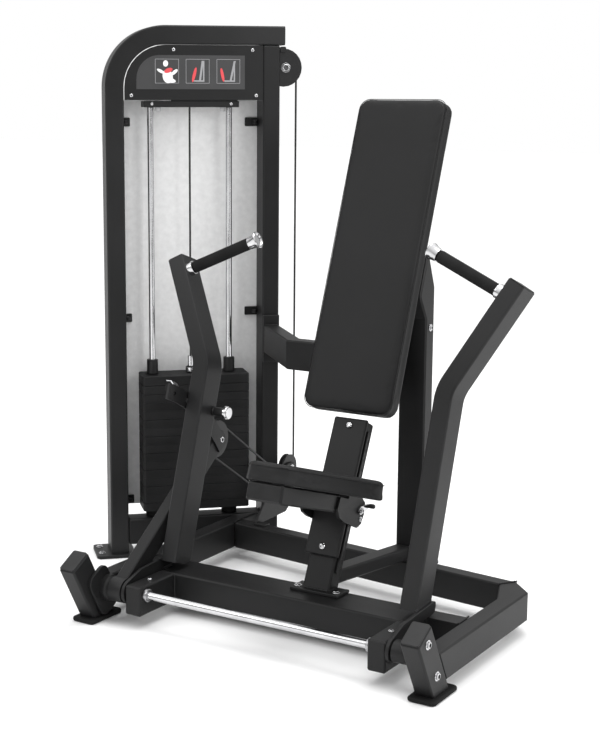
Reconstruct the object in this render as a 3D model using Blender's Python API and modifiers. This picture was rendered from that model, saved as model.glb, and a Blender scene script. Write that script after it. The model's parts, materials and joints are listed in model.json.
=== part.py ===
"""Selectorised chest press machine: welded frame, weight tower, press arms, seat and back pad."""
import math

import bmesh
import bpy
from mathutils import Matrix, Vector

# Sizes in metres. X = 0 is midway between the legs, Y = 0 is the press shaft, Z = 0 is the floor.
ORIGIN_SHIFT = (0.1819, -0.3942, 0.0)
GAP = 0.0003
MERGE = 0.00001
FLAT_ANGLE = 0.002
TUBE = 0.050
TUBE_LOW = 0.035
TUBE_TOP = 0.115
TUBE_BEVEL = 0.004
SHAFT_HEIGHT = 0.090
SHAFT_RADIUS = 0.011
SHAFT_BORE = 0.0117
SHAFT_END = 0.4765

BOX_INNER = 0.339
BOX_OUTER = 0.389
BOX_FRONT = -0.027
BEAM_FRONT = 0.128
BEAM_BACK = 0.248
STUB_FRONT = 0.188
TUBE_START = -0.040
LEG_INNER = 0.478
LEG_OUTER = 0.528
LEG_LEAN = math.radians(29.0)
LEG_DEPTH = 0.075
LEG_FORWARD = 0.048
LEG_UP = 0.103
LEG_DOWN = 0.110
FOOT_HEIGHT = 0.012
FOOT_SIZE = (0.074, 0.132)
BARREL_LENGTH = {"left": 0.032, "right": 0.074}
SIDE_END = 0.510

TOWER_ANGLE = math.radians(45.2)
TOWER_CORNER = (-0.8042, 0.4387)
TOWER_TOP = 1.594
TOWER_DEPTH = 0.090
COLUMN_WIDTH = 0.055
ARCH_RADIUS = 0.1525
RIGHT_COLUMN = (0.476, 0.527)
TOP_TUBE_END = 0.542
ROD_S = (0.143, 0.380)
ROD_DEPTH = 0.042
ROD_RADIUS = 0.0095
CABLE_S = 0.261
STACK_LOW = 0.139
PLATE_COUNT = 15
PLATE_PITCH = 0.02593
PLATE_SPAN = (0.106, 0.434)
PLATE_DEPTHS = (-0.008, 0.0875)
HEAD_TOP = 0.558
SELECTED_PLATE = 3

PULLEY_HALF = 0.009
PULLEY_RIM = 0.006
GROOVE_DEPTH = 0.0042
AXLE_RADIUS = 0.006
AXLE_BORE = 0.0063
CABLE_RADIUS = 0.003
CABLE_X = -0.421
SIDE_PULLEY = (0.5398, 1.474, 0.046)
TOP_PULLEY = (0.311, 1.472, 0.050)
BASE_PULLEY = (0.8482, 0.250, 0.036)
LEVER_PULLEY = (0.449, 0.418, 0.048)
CABLE_ANCHOR = (0.800, 0.137)

LEVER_X = (-0.440, -0.402)
SECTOR_X = (-0.4025, -0.396)
SECTOR_RADIUS = 0.547
SECTOR_STEP = 6.5
PIN_YZ = (0.325, 0.530)

SEAT_X = 0.060
PAD_X = 0.050
POST_LEAN = math.radians(24.5)
POST_FRONT = 0.200
PAD_LEAN = math.radians(20.4)
PAD_FRONT = 0.362
PAD_LOW = 0.570
PAD_LENGTH = 0.872
PAD_HALF = 0.133
PAD_THICK = 0.052
SEAT_TILT = math.radians(17.0)
SEAT_FRONT = (-0.030, 0.512)
SEAT_THICK = 0.050
LATCH_YZ = (0.036, 0.236)
LATCH_ANGLE = math.radians(28.0)
UPRIGHT_X = (0.105, 0.185)
UPRIGHT_Y = (0.570, 0.617)

ARM_FOOT = (0.3649, 0.172, 0.131)
ARM_BEND = (0.3690, 0.338, 0.661)
ARM_TOP = (0.5160, 0.425, 0.930)
GRIP_BASE = (0.470, 0.4035, 0.912)
GRIP_END = (0.269, 0.426, 1.000)
GRIP_RADIUS = 0.0165
GRIP_BORE = 0.0131
GRIP_BAR = 0.0125

STEEL = ((0.018, 0.018, 0.019), 0.42, 0.3)
VINYL = ((0.012, 0.012, 0.013), 0.62, 0.0)
RUBBER = ((0.015, 0.015, 0.015), 0.75, 0.0)
CHROME = ((0.78, 0.78, 0.79), 0.12, 1.0)
IRON = ((0.030, 0.030, 0.031), 0.50, 0.4)
PANEL = ((0.74, 0.75, 0.76), 0.45, 0.0)
NYLON = ((0.02, 0.02, 0.02), 0.40, 0.0)


def clear_scene():
    for thing in list(bpy.data.objects):
        bpy.data.objects.remove(thing, do_unlink=True)


clear_scene()
PARTS = bpy.data.collections.new("chest_press_machine")
CUTTERS = bpy.data.collections.new("cutters")
bpy.context.scene.collection.children.link(PARTS)
bpy.context.scene.collection.children.link(CUTTERS)


def material(name, look):
    found = bpy.data.materials.get(name)
    if found:
        return found
    made = bpy.data.materials.new(name)
    made.use_nodes = True
    shader = made.node_tree.nodes["Principled BSDF"]
    shader.inputs["Base Color"].default_value = look[0] + (1.0,)
    shader.inputs["Roughness"].default_value = look[1]
    shader.inputs["Metallic"].default_value = look[2]
    made.diffuse_color = look[0] + (1.0,)
    return made


def place(body, look, bevel, segments):
    """Puts a body with the parts, or with the cutters when it has no look of its own."""
    if look is None:
        CUTTERS.objects.link(body)
        body.hide_render = True
        body.display_type = "WIRE"
    else:
        PARTS.objects.link(body)
        body.data.materials.append(material(look[0], look[1]))
    if bevel:
        edge = body.modifiers.new("edges", "BEVEL")
        edge.width = bevel
        edge.segments = segments
        edge.limit_method = "ANGLE"
        edge.angle_limit = math.radians(40.0)
    return body


def finished(name, work, look, bevel, segments):
    """Object from a bmesh, with flat neighbours merged and the faces pointing out."""
    bmesh.ops.remove_doubles(work, verts=work.verts, dist=MERGE)
    bmesh.ops.dissolve_limit(work, angle_limit=FLAT_ANGLE, verts=work.verts, edges=work.edges)
    bmesh.ops.recalc_face_normals(work, faces=work.faces)
    mesh = bpy.data.meshes.new(name)
    work.to_mesh(mesh)
    work.free()
    return place(bpy.data.objects.new(name, mesh), look, bevel, segments)


def as_bmesh(source):
    """Evaluated mesh of a curve or of an object with modifiers; the source is removed."""
    bpy.context.scene.collection.objects.link(source)
    graph = bpy.context.evaluated_depsgraph_get()
    mesh = bpy.data.meshes.new_from_object(source.evaluated_get(graph))
    work = bmesh.new()
    work.from_mesh(mesh)
    bpy.data.objects.remove(source, do_unlink=True)
    bpy.data.meshes.remove(mesh)
    return work


def combine(body, other, operation):
    step = body.modifiers.new(operation.lower(), "BOOLEAN")
    step.operation = operation
    step.solver = "EXACT"
    step.object = other


def cut(body, *others):
    for other in others:
        combine(body, other, "DIFFERENCE")


def join(body, *others):
    for other in others:
        combine(body, other, "UNION")


def prism(name, outline, axis, low, high, look=None, bevel=0.0, segments=1):
    """Flat outline pushed along one axis: X takes (y, z), Y takes (x, z), Z takes (x, y)."""
    flat = bpy.data.curves.new(name + "_outline", "CURVE")
    flat.dimensions = "2D"
    flat.fill_mode = "BOTH"
    flat.extrude = (high - low) / 2
    line = flat.splines.new("POLY")
    line.points.add(len(outline) - 1)
    line.use_cyclic_u = True
    for slot, (a, b) in zip(line.points, outline):
        slot.co = (a, b, 0.0, 1.0)
    work = as_bmesh(bpy.data.objects.new(name + "_outline", flat))
    turns = {"X": ((0, 0, 1), (1, 0, 0), (0, 1, 0)), "Y": ((1, 0, 0), (0, 0, 1), (0, 1, 0)),
             "Z": ((1, 0, 0), (0, 1, 0), (0, 0, 1))}
    turn = Matrix(turns[axis]).to_4x4()
    lift = Matrix.Translation((0, 0, (low + high) / 2))
    bmesh.ops.transform(work, matrix=turn @ lift, verts=work.verts)
    return finished(name, work, look, bevel, segments)


def box(name, x, y, z, look=None, bevel=0.0, segments=1):
    work = bmesh.new()
    bmesh.ops.create_cube(work, size=1.0)
    size = Matrix.Diagonal((x[1] - x[0], y[1] - y[0], z[1] - z[0], 1.0))
    middle = Matrix.Translation(((x[0] + x[1]) / 2, (y[0] + y[1]) / 2, (z[0] + z[1]) / 2))
    bmesh.ops.transform(work, matrix=middle @ size, verts=work.verts)
    return finished(name, work, look, bevel, segments)


def rounded(width, height, radius, steps=5, centre=(0.0, 0.0)):
    """Corner-rounded rectangle outline about a centre."""
    points = []
    for quadrant in range(4):
        angle = quadrant * math.pi / 2
        sign_a = 1 if quadrant in (0, 3) else -1
        sign_b = 1 if quadrant in (0, 1) else -1
        for k in range(steps + 1):
            turn = angle + k * math.pi / 2 / steps
            a = centre[0] + sign_a * (width / 2 - radius) + radius * math.cos(turn)
            b = centre[1] + sign_b * (height / 2 - radius) + radius * math.sin(turn)
            points.append((a, b))
    return points


def along_line(start, direction):
    """Matrix that stands local +Z on a line."""
    return Matrix.Translation(start) @ Vector((0, 0, 1)).rotation_difference(Vector(direction)).to_matrix().to_4x4()


def lathe(name, profile, start, direction, look=None, sides=18):
    """Profile of (radius, distance) turned about a line; a profile off the axis closes on itself."""
    mesh = bpy.data.meshes.new(name + "_profile")
    links = [(i, i + 1) for i in range(len(profile) - 1)]
    if profile[0][0] > 0:
        links.append((len(profile) - 1, 0))
    mesh.from_pydata([(radius, 0.0, distance) for radius, distance in profile], links, [])
    source = bpy.data.objects.new(name + "_profile", mesh)
    screw = source.modifiers.new("turn", "SCREW")
    screw.steps = sides
    screw.render_steps = sides
    screw.use_merge_vertices = True
    screw.merge_threshold = MERGE
    work = as_bmesh(source)
    bmesh.ops.transform(work, matrix=along_line(start, direction), verts=work.verts)
    return finished(name, work, look, 0.0, 1)


def rod(name, start, end, radius, look=None, sides=16):
    length = (Vector(end) - Vector(start)).length
    work = bmesh.new()
    bmesh.ops.create_cone(work, cap_ends=True, segments=sides, radius1=radius, radius2=radius, depth=length,
                          matrix=Matrix.Translation((0, 0, length / 2)))
    bmesh.ops.transform(work, matrix=along_line(start, Vector(end) - Vector(start)), verts=work.verts)
    return finished(name, work, look, 0.0, 1)


def bored(name, start, end, radius, bore, look, sides=16):
    length = (Vector(end) - Vector(start)).length
    profile = [(bore, 0), (radius, 0), (radius, length), (bore, length)]
    return lathe(name, profile, start, Vector(end) - Vector(start), look, sides)


def bar(name, path, width, depth, side, look=None, bevel=0.0, segments=1):
    """Rectangular tube swept along a path with mitred corners; width runs along the side axis."""
    path = [Vector(p) for p in path]
    runs = [(b - a).normalized() for a, b in zip(path, path[1:])]
    u = Vector(side)
    u = (u - runs[0] * u.dot(runs[0])).normalized()
    verts = []
    for i, point in enumerate(path):
        run = runs[max(i - 1, 0)]
        v = run.cross(u)
        plane = run
        if 0 < i < len(path) - 1:
            plane = (runs[i - 1] + runs[i]).normalized()
        for a, b in ((-1, -1), (1, -1), (1, 1), (-1, 1)):
            offset = u * (a * width / 2) + v * (b * depth / 2)
            verts.append(point + offset - run * (offset.dot(plane) / run.dot(plane)))
        if 0 < i < len(path) - 1:
            u = run.rotation_difference(runs[i]) @ u
    work = bmesh.new()
    points = [work.verts.new(v) for v in verts]
    work.faces.new(points[:4])
    work.faces.new(points[-4:])
    for i in range(len(path) - 1):
        for k in range(4):
            m = (k + 1) % 4
            corners = (4 * i + k, 4 * i + m, 4 * i + 4 + m, 4 * i + 4 + k)
            work.faces.new([points[c] for c in corners])
    return finished(name, work, look, bevel, segments)


def filleted(points, radius, steps):
    """Path with its inner corners replaced by short arcs."""
    points = [Vector(p) for p in points]
    path = [points[0]]
    for before, corner, after in zip(points, points[1:], points[2:]):
        run_in = (corner - before).normalized()
        run_out = (after - corner).normalized()
        turn = run_in.angle(run_out)
        back = radius * math.tan(turn / 2)
        start = corner - run_in * back
        inward = (run_out - run_in * run_out.dot(run_in)).normalized()
        centre = start + inward * radius
        for k in range(steps + 1):
            angle = turn * k / steps
            path.append(centre - inward * (radius * math.cos(angle)) + run_in * (radius * math.sin(angle)))
    path.append(points[-1])
    return path


def move(body, matrix):
    body.data.transform(matrix)
    if matrix.determinant() < 0:
        body.data.flip_normals()
    return body


def pivot(body, point):
    """Puts the object origin on its joint axis without moving the body."""
    body.data.transform(Matrix.Translation(-Vector(point)))
    body.location = point
    return body


TOWER = Matrix.Translation((TOWER_CORNER[0], TOWER_CORNER[1], 0)) @ Matrix.Rotation(TOWER_ANGLE, 4, "Z")
POST = Matrix.Translation((SEAT_X, POST_FRONT, TUBE_TOP)) @ Matrix.Rotation(-POST_LEAN, 4, "X")
PAD = Matrix.Translation((PAD_X, PAD_FRONT, PAD_LOW)) @ Matrix.Rotation(-PAD_LEAN, 4, "X")
SEAT = Matrix.Translation((SEAT_X, SEAT_FRONT[0], SEAT_FRONT[1])) @ Matrix.Rotation(-SEAT_TILT, 4, "X")
MIRROR = Matrix.Scale(-1, 4, (1, 0, 0))

FRAME_PAINT = ("satin_black_steel", STEEL)
PAD_VINYL = ("black_vinyl", VINYL)
BLACK_RUBBER = ("black_rubber", RUBBER)
BRIGHT = ("chrome", CHROME)
CAST_IRON = ("black_cast_iron", IRON)
PALE_PANEL = ("pale_panel", PANEL)
BLACK_NYLON = ("black_nylon", NYLON)


def tower_point(s, d, z):
    return TOWER @ Vector((s, d, z))


def shaft_hole(low, high, radius=SHAFT_BORE):
    return rod("shaft_hole", (low, 0, SHAFT_HEIGHT), (high, 0, SHAFT_HEIGHT), radius)


def base_frame():
    outline = [(-LEG_INNER, STUB_FRONT), (-BOX_OUTER, STUB_FRONT), (-BOX_OUTER, BEAM_FRONT),
               (BOX_OUTER, BEAM_FRONT), (BOX_OUTER, STUB_FRONT), (LEG_INNER, STUB_FRONT),
               (LEG_INNER, BEAM_BACK), (-LEG_INNER, BEAM_BACK)]
    outline = [(x * (1 - GAP / LEG_INNER), y) for x, y in outline]
    prism("cross_beam", outline, "Z", TUBE_LOW, TUBE_TOP, FRAME_PAINT, TUBE_BEVEL)
    for side, sign in (("left", -1), ("right", 1)):
        spans = sorted((sign * BOX_INNER, sign * BOX_OUTER))
        block = box("shaft_box_" + side, spans, (BOX_FRONT, BEAM_FRONT - GAP),
                    (TUBE_LOW, TUBE_TOP), FRAME_PAINT, TUBE_BEVEL)
        cut(block, shaft_hole(spans[0] - 0.01, spans[1] + 0.01, 0.0135))
    right = [(LEG_INNER, TUBE_START), (LEG_OUTER, TUBE_START), (LEG_OUTER, SIDE_END),
             (0.468, 0.573), (0.436, 0.530), (LEG_INNER, 0.420)]
    right_tube = prism("side_tube_right", right, "Z", TUBE_LOW, TUBE_TOP, FRAME_PAINT, TUBE_BEVEL)
    ends = []
    for x in (-LEG_INNER, -LEG_OUTER):
        away = x - TOWER_CORNER[0]
        rise = away * math.tan(TOWER_ANGLE) - GAP
        ends.append((x, TOWER_CORNER[1] + rise))
    left = [(-LEG_OUTER, TUBE_START), (-LEG_INNER, TUBE_START)] + ends
    left_tube = prism("side_tube_left", left, "Z", TUBE_LOW, TUBE_TOP, FRAME_PAINT, TUBE_BEVEL)
    rear = [(-LEG_INNER + GAP, 0.6341), (0.4357, 0.5301), (0.4677, 0.5731), (-LEG_INNER + GAP, 0.6840)]
    prism("rear_tube", rear, "Z", TUBE_LOW, TUBE_TOP, FRAME_PAINT, TUBE_BEVEL)
    lathe("rear_foot", [(0, 0), (0.027, 0), (0.024, 0.012), (0.012, 0.016), (0.012, TUBE_LOW - GAP),
                        (0, TUBE_LOW - GAP)], (0.432, 0.552, 0), (0, 0, 1), BLACK_RUBBER)
    for side, sign, tube in (("left", -1, left_tube), ("right", 1, right_tube)):
        leg_group(side, sign, tube)


def leg_frame(sign):
    """Leg axis just in front of the shaft line, leaning forward as it rises."""
    centre = Matrix.Translation((sign * (LEG_INNER + LEG_OUTER) / 2, -LEG_FORWARD, SHAFT_HEIGHT))
    return centre @ Matrix.Rotation(LEG_LEAN, 4, "X")


def leg_group(side, sign, tube):
    frame = leg_frame(sign)
    half = TUBE / 2
    leg = box("leg_" + side, (-half, half), (-LEG_DEPTH / 2, LEG_DEPTH / 2), (-LEG_DOWN - 0.04, LEG_UP),
              FRAME_PAINT, TUBE_BEVEL)
    move(leg, frame)
    middle = sign * (LEG_INNER + LEG_OUTER) / 2
    floor = box("floor_cut", (middle - 0.1, middle + 0.1), (-0.3, 0.3), (-0.2, FOOT_HEIGHT + GAP))
    cut(leg, floor)
    clear = half + 0.02
    notch = box("leg_notch", (-clear, clear), (-0.2, LEG_DEPTH / 2 + GAP), (-0.3, 0.3))
    cut(tube, move(notch, frame))
    prism("foot_" + side, rounded(*FOOT_SIZE, 0.012, 4, (middle, -0.002)), "Z", 0, FOOT_HEIGHT,
          BLACK_RUBBER, 0.003)
    plate = rounded(0.084, 0.134, 0.026, 5, (-0.014, 0))
    flange = prism("bearing_" + side, plate, "Z", 0, 0.010, FRAME_PAINT, 0.0015)
    upright = Matrix.Translation((sign * (LEG_INNER - GAP), 0, SHAFT_HEIGHT)) @ Matrix.Rotation(LEG_LEAN, 4, "X")
    stand = Matrix(((0, 0, -sign, 0), (1, 0, 0, 0), (0, 1, 0, 0), (0, 0, 0, 1)))
    move(flange, upright @ stand)
    inner = sign * (LEG_INNER - GAP)
    reach = BARREL_LENGTH[side]
    barrel = lathe("bearing_barrel", [(0, 0.001), (0.036, 0.001), (0.036, 0.024), (0.028, 0.032),
                                      (0.028, reach + 0.0005), (0, reach + 0.0005)],
                   (inner, 0, SHAFT_HEIGHT), (-sign, 0, 0), None, 18)
    join(flange, barrel)
    cut(flange, shaft_hole(inner - 0.09, inner + 0.09))


def tower():
    mid = COLUMN_WIDTH / 2
    top = TOWER_TOP - mid
    middle = TOWER_DEPTH / 2
    path = filleted([(0.005 + mid, middle, 0.009), (0.005 + mid, middle, top), (TOP_TUBE_END, middle, top)],
                    ARCH_RADIUS, 8)
    arch = bar("tower_arch", path, TOWER_DEPTH, COLUMN_WIDTH, (0, 1, 0), FRAME_PAINT, TUBE_BEVEL)
    sole = prism("arch_sole", rounded(0.120, 0.130, 0.015, 3, (0.020, middle)), "Z", 0, 0.010)
    hole = rod("sole_hole", (-0.020, middle, -0.01), (-0.020, middle, 0.02), 0.007)
    join(arch, sole)
    cut(arch, hole)
    for body in (arch, sole, hole):
        move(body, TOWER)
    column = box("tower_column", RIGHT_COLUMN, (0, TOWER_DEPTH), (0.0123, TOWER_TOP - COLUMN_WIDTH - GAP),
                 FRAME_PAINT, TUBE_BEVEL)
    slot = box("pulley_slot", (0.46, 0.54), (0.030, 0.054), (1.400, 1.55))
    cut(column, slot)
    foot = prism("tower_foot", rounded(0.080, 0.110, 0.012, 3, (0.5015, middle)), "Z", 0, 0.012,
                 BLACK_RUBBER, 0.003)
    base = box("tower_base", (0.0603, RIGHT_COLUMN[0] - GAP), (0.0002, 0.065), (TUBE_LOW, TUBE_TOP),
               FRAME_PAINT, TUBE_BEVEL)
    shield = box("tower_shield", (0.030, 0.502), (TOWER_DEPTH + GAP, TOWER_DEPTH + 0.0033), (0.140, 1.378),
                 PALE_PANEL, 0.001, 1)
    inner_s = 0.005 + mid + ARCH_RADIUS
    inner_z = top - ARCH_RADIUS
    corner = arc_points((inner_s, inner_z), ARCH_RADIUS - mid - 0.0015, math.pi, math.pi / 2, 8)
    ceiling = inner_z + ARCH_RADIUS - mid - 0.0015
    sign_line = [(0.4755, 1.3785), (0.4755, ceiling)] + corner[::-1] + [(corner[0][0], 1.3785)]
    placard = prism("placard", sign_line, "Y", 0.002, 0.006, FRAME_PAINT, 0.0008, 1)
    bracket = box("guide_bracket", (0.119, 0.404), (0.0065, 0.066), (1.358, 1.376), FRAME_PAINT, 0.001, 1)
    upstand = box("bracket_upstand", (0.200, 0.400), (0.0078, 0.0135), (1.365, ceiling))
    join(bracket, upstand)
    top_s, top_z, _ = TOP_PULLEY
    axle = rod("top_axle", (top_s, 0.010, top_z), (top_s, ROD_DEPTH + 0.012, top_z), AXLE_RADIUS)
    join(bracket, axle)
    passage = rod("cable_passage", (CABLE_S, ROD_DEPTH, 1.30), (CABLE_S, ROD_DEPTH, 1.45), 0.010)
    cut(bracket, passage)
    moved = [column, slot, foot, base, shield, placard, bracket, upstand, axle, passage]
    for side, s in zip(("left", "right"), ROD_S):
        bumper_low = TUBE_TOP + GAP
        moved.append(rod("guide_rod_" + side, (s, ROD_DEPTH, bumper_low), (s, ROD_DEPTH, 1.358 - GAP),
                         ROD_RADIUS, BRIGHT, 20))
        moved.append(bored("bumper_" + side, (s, ROD_DEPTH, bumper_low), (s, ROD_DEPTH, STACK_LOW - GAP),
                           0.024, ROD_RADIUS + GAP, BLACK_RUBBER))
    for body in moved:
        move(body, TOWER)


def stack():
    centre_d = (PLATE_DEPTHS[0] + PLATE_DEPTHS[1]) / 2
    span = (PLATE_SPAN[1] - PLATE_SPAN[0], PLATE_DEPTHS[1] - PLATE_DEPTHS[0])
    middle = ((PLATE_SPAN[0] + PLATE_SPAN[1]) / 2, centre_d)
    groups = [("plate_pair_1", 1, 2), ("plate_selected", SELECTED_PLATE, SELECTED_PLATE)]
    for k in range(6):
        groups.append(("plate_pair_%d" % (k + 2), 4 + 2 * k, 5 + 2 * k))
    head_low = STACK_LOW + PLATE_COUNT * PLATE_PITCH
    bores = [rod("rod_bore", (s, ROD_DEPTH, 0.1), (s, ROD_DEPTH, 0.7), ROD_RADIUS + 0.0020, None, 8) for s in ROD_S]
    stem_bore = rod("stem_bore", (CABLE_S, ROD_DEPTH, 0.1), (CABLE_S, ROD_DEPTH, head_low + 0.001), 0.0130, None, 8)
    pin_z = head_low - (SELECTED_PLATE - 0.5) * PLATE_PITCH
    pin_hole = rod("pin_hole", (CABLE_S, -0.03, pin_z), (CABLE_S, ROD_DEPTH + 0.006, pin_z), 0.0052, None, 12)
    for body in bores + [stem_bore, pin_hole]:
        move(body, TOWER)
    for name, first, last in groups:
        high = head_low - (first - 1) * PLATE_PITCH - GAP
        low = head_low - last * PLATE_PITCH
        block = prism(name, rounded(span[0], span[1], 0.006, 1, middle), "Z", low, high, CAST_IRON)
        move(block, TOWER)
        if last > first:
            split = (high + low) / 2
            ring = [(-0.2, -0.1), (0.2, -0.1), (0.2, 0.1), (-0.2, 0.1)]
            outer = prism("seam_outer", [(middle[0] + a, middle[1] + b) for a, b in ring], "Z",
                          split - 0.0009, split + 0.0009)
            keep = prism("seam_keep", rounded(span[0] - 0.005, span[1] - 0.005, 0.005, 1, middle), "Z",
                         split - 0.002, split + 0.002)
            for body in (outer, keep):
                move(body, TOWER)
            cut(outer, keep)
            cut(block, outer)
        cut(block, bores[0], bores[1], stem_bore)
        if name == "plate_selected":
            cut(block, pin_hole)
    head = prism("head_plate", rounded(span[0], span[1], 0.006, 1, middle), "Z", head_low, HEAD_TOP,
                 CAST_IRON, 0.002, 1)
    fitting = lathe("cable_fitting", [(0, 0.02), (0.0115, 0.02), (0.0115, 0.46), (0.016, 0.461), (0.016, 0.475),
                                      (0.009, 0.480), (0.009, 0.510), (0, 0.510)],
                    (CABLE_S, ROD_DEPTH, 0.100), (0, 0, 1), None, 16)
    helpers = [fitting]
    for s in ROD_S:
        helpers.append(rod("bushing", (s, ROD_DEPTH, HEAD_TOP - 0.01), (s, ROD_DEPTH, HEAD_TOP + 0.044), 0.0165))
    for body in [head] + helpers:
        move(body, TOWER)
    join(head, *helpers)
    through = [rod("bushing_bore", (s, ROD_DEPTH, 0.50), (s, ROD_DEPTH, 0.65), ROD_RADIUS + GAP) for s in ROD_S]
    for body in through:
        move(body, TOWER)
    cut(head, *through)
    cut(head, pin_hole)
    grip = [(0, -0.052), (0.010, -0.052), (0.013, -0.048), (0.013, -0.022), (0.0048, -0.020),
            (0.0048, ROD_DEPTH), (0, ROD_DEPTH)]
    pin = lathe("selector_pin", grip, (CABLE_S, 0, pin_z), (0, 1, 0), BRIGHT, 16)
    move(pin, TOWER)
    pivot(pin, tower_point(CABLE_S, 0, pin_z))
    pivot(head, tower_point(CABLE_S, ROD_DEPTH, head_low))


def pulley(name, centre, axis, groove):
    """Grooved wheel with a bored hub."""
    rim = groove + PULLEY_RIM
    root = groove - GROOVE_DEPTH
    profile = [(AXLE_BORE, -PULLEY_HALF), (rim, -PULLEY_HALF), (rim, -0.0062), (root, -0.0040),
               (root, 0.0040), (rim, 0.0062), (rim, PULLEY_HALF), (AXLE_BORE, PULLEY_HALF)]
    wheel = lathe(name, profile, centre, axis, BLACK_NYLON, 20)
    return pivot(wheel, centre)


def pulleys():
    back = TOWER.to_3x3() @ Vector((0, 1, 0))
    pulley("top_pulley", tower_point(TOP_PULLEY[0], ROD_DEPTH, TOP_PULLEY[1]), back, TOP_PULLEY[2])
    pulley("side_pulley", tower_point(SIDE_PULLEY[0], ROD_DEPTH, SIDE_PULLEY[1]), back, SIDE_PULLEY[2])
    pulley("base_pulley", (CABLE_X, BASE_PULLEY[0], BASE_PULLEY[1]), (1, 0, 0), BASE_PULLEY[2])
    pulley("lever_pulley", (CABLE_X, LEVER_PULLEY[0], LEVER_PULLEY[1]), (1, 0, 0), LEVER_PULLEY[2])
    s, z, _ = SIDE_PULLEY
    front = rod("side_pulley_bracket", (s, 0.010, z), (s, 0.018, z), 0.056, FRAME_PAINT, 24)
    beside = box("column_clear", (s - 0.1, RIGHT_COLUMN[1] + GAP), (0, 0.025), (z - 0.1, z + 0.1))
    rear = rod("bracket_rear", (s, TOWER_DEPTH + GAP, z), (s, TOWER_DEPTH + 0.006, z), 0.040, None, 18)
    axle = rod("bracket_axle", (s, 0.012, z), (s, TOWER_DEPTH + 0.003, z), AXLE_RADIUS)
    cut(front, beside)
    join(front, axle, rear)
    for body in (front, beside, rear, axle):
        move(body, TOWER)
    y, z = BASE_PULLEY[0], BASE_PULLEY[1]
    outline = [(0.637, TUBE_TOP + GAP), (0.672, TUBE_TOP + GAP), (0.815, 0.118), (0.830, 0.130), (y + 0.020, z - 0.010),
               (y + 0.016, z + 0.016), (y - 0.016, z + 0.018), (0.760, 0.250)]
    plate = prism("base_pulley_bracket", outline, "X", CABLE_X + 0.0105, CABLE_X + 0.0170, FRAME_PAINT, 0.001, 1)
    stub = rod("base_axle", (CABLE_X - 0.011, y, z), (CABLE_X + 0.012, y, z), AXLE_RADIUS)
    lug = rod("anchor_lug", (CABLE_X - 0.008, 0.812, 0.130), (CABLE_X + 0.012, 0.812, 0.130), 0.009)
    sole = box("bracket_sole", (CABLE_X + 0.0105, CABLE_X + 0.050), (0.637, 0.667), (TUBE_TOP + GAP, TUBE_TOP + 0.006))
    join(plate, stub, lug, sole)


def arc_points(centre, radius, start, end, steps):
    points = []
    for k in range(steps + 1):
        angle = start + (end - start) * k / steps
        points.append((centre[0] + radius * math.cos(angle), centre[1] + radius * math.sin(angle)))
    return points


def wire(name, points):
    curve = bpy.data.curves.new(name, "CURVE")
    curve.dimensions = "3D"
    curve.bevel_depth = CABLE_RADIUS
    curve.bevel_resolution = 2
    curve.use_fill_caps = True
    line = curve.splines.new("POLY")
    line.points.add(len(points) - 1)
    for slot, point in zip(line.points, points):
        slot.co = (point[0], point[1], point[2], 1.0)
    curve.materials.append(material("cable_black", NYLON))
    body = bpy.data.objects.new(name, curve)
    PARTS.objects.link(body)
    return body


def cables():
    top_s, top_z, top_r = TOP_PULLEY
    side_s, side_z, side_r = SIDE_PULLEY
    wire("cable_stack", [tower_point(CABLE_S, ROD_DEPTH, 0.6103), tower_point(CABLE_S, ROD_DEPTH, top_z - 0.001)])
    run = arc_points((top_s, top_z), top_r, math.pi, math.pi / 2, 9)
    run += arc_points((side_s, top_z + top_r - side_r), side_r, math.pi / 2, 0, 9)
    path = [tower_point(s, ROD_DEPTH, z) for s, z in run]
    base = (BASE_PULLEY[0], BASE_PULLEY[1])
    lever = (LEVER_PULLEY[0], LEVER_PULLEY[1])
    away = math.atan2(lever[1] - base[1], lever[0] - base[0])
    apart = math.hypot(lever[0] - base[0], lever[1] - base[1])
    swing = math.acos((BASE_PULLEY[2] + LEVER_PULLEY[2]) / apart)
    leave_base = away + swing - 2 * math.pi
    for y, z in arc_points(base, BASE_PULLEY[2], 0, leave_base, 10):
        path.append(Vector((CABLE_X, y, z)))
    split = path[-1]
    wire("cable_frame", path)
    meet = leave_base + math.pi
    anchor = CABLE_ANCHOR
    to_anchor = math.atan2(anchor[1] - lever[1], anchor[0] - lever[0])
    spread = math.acos(LEVER_PULLEY[2] / math.hypot(anchor[0] - lever[0], anchor[1] - lever[1]))
    depart = to_anchor - spread + 2 * math.pi
    wrap = arc_points(lever, LEVER_PULLEY[2], meet, depart, 18)
    start = Vector((CABLE_X, wrap[0][0], wrap[0][1]))
    line = [split + (start - split).normalized() * 0.001]
    line += [Vector((CABLE_X, y, z)) for y, z in wrap]
    line.append(Vector((CABLE_X, anchor[0], anchor[1])))
    wire("cable_lever", line)


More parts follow.
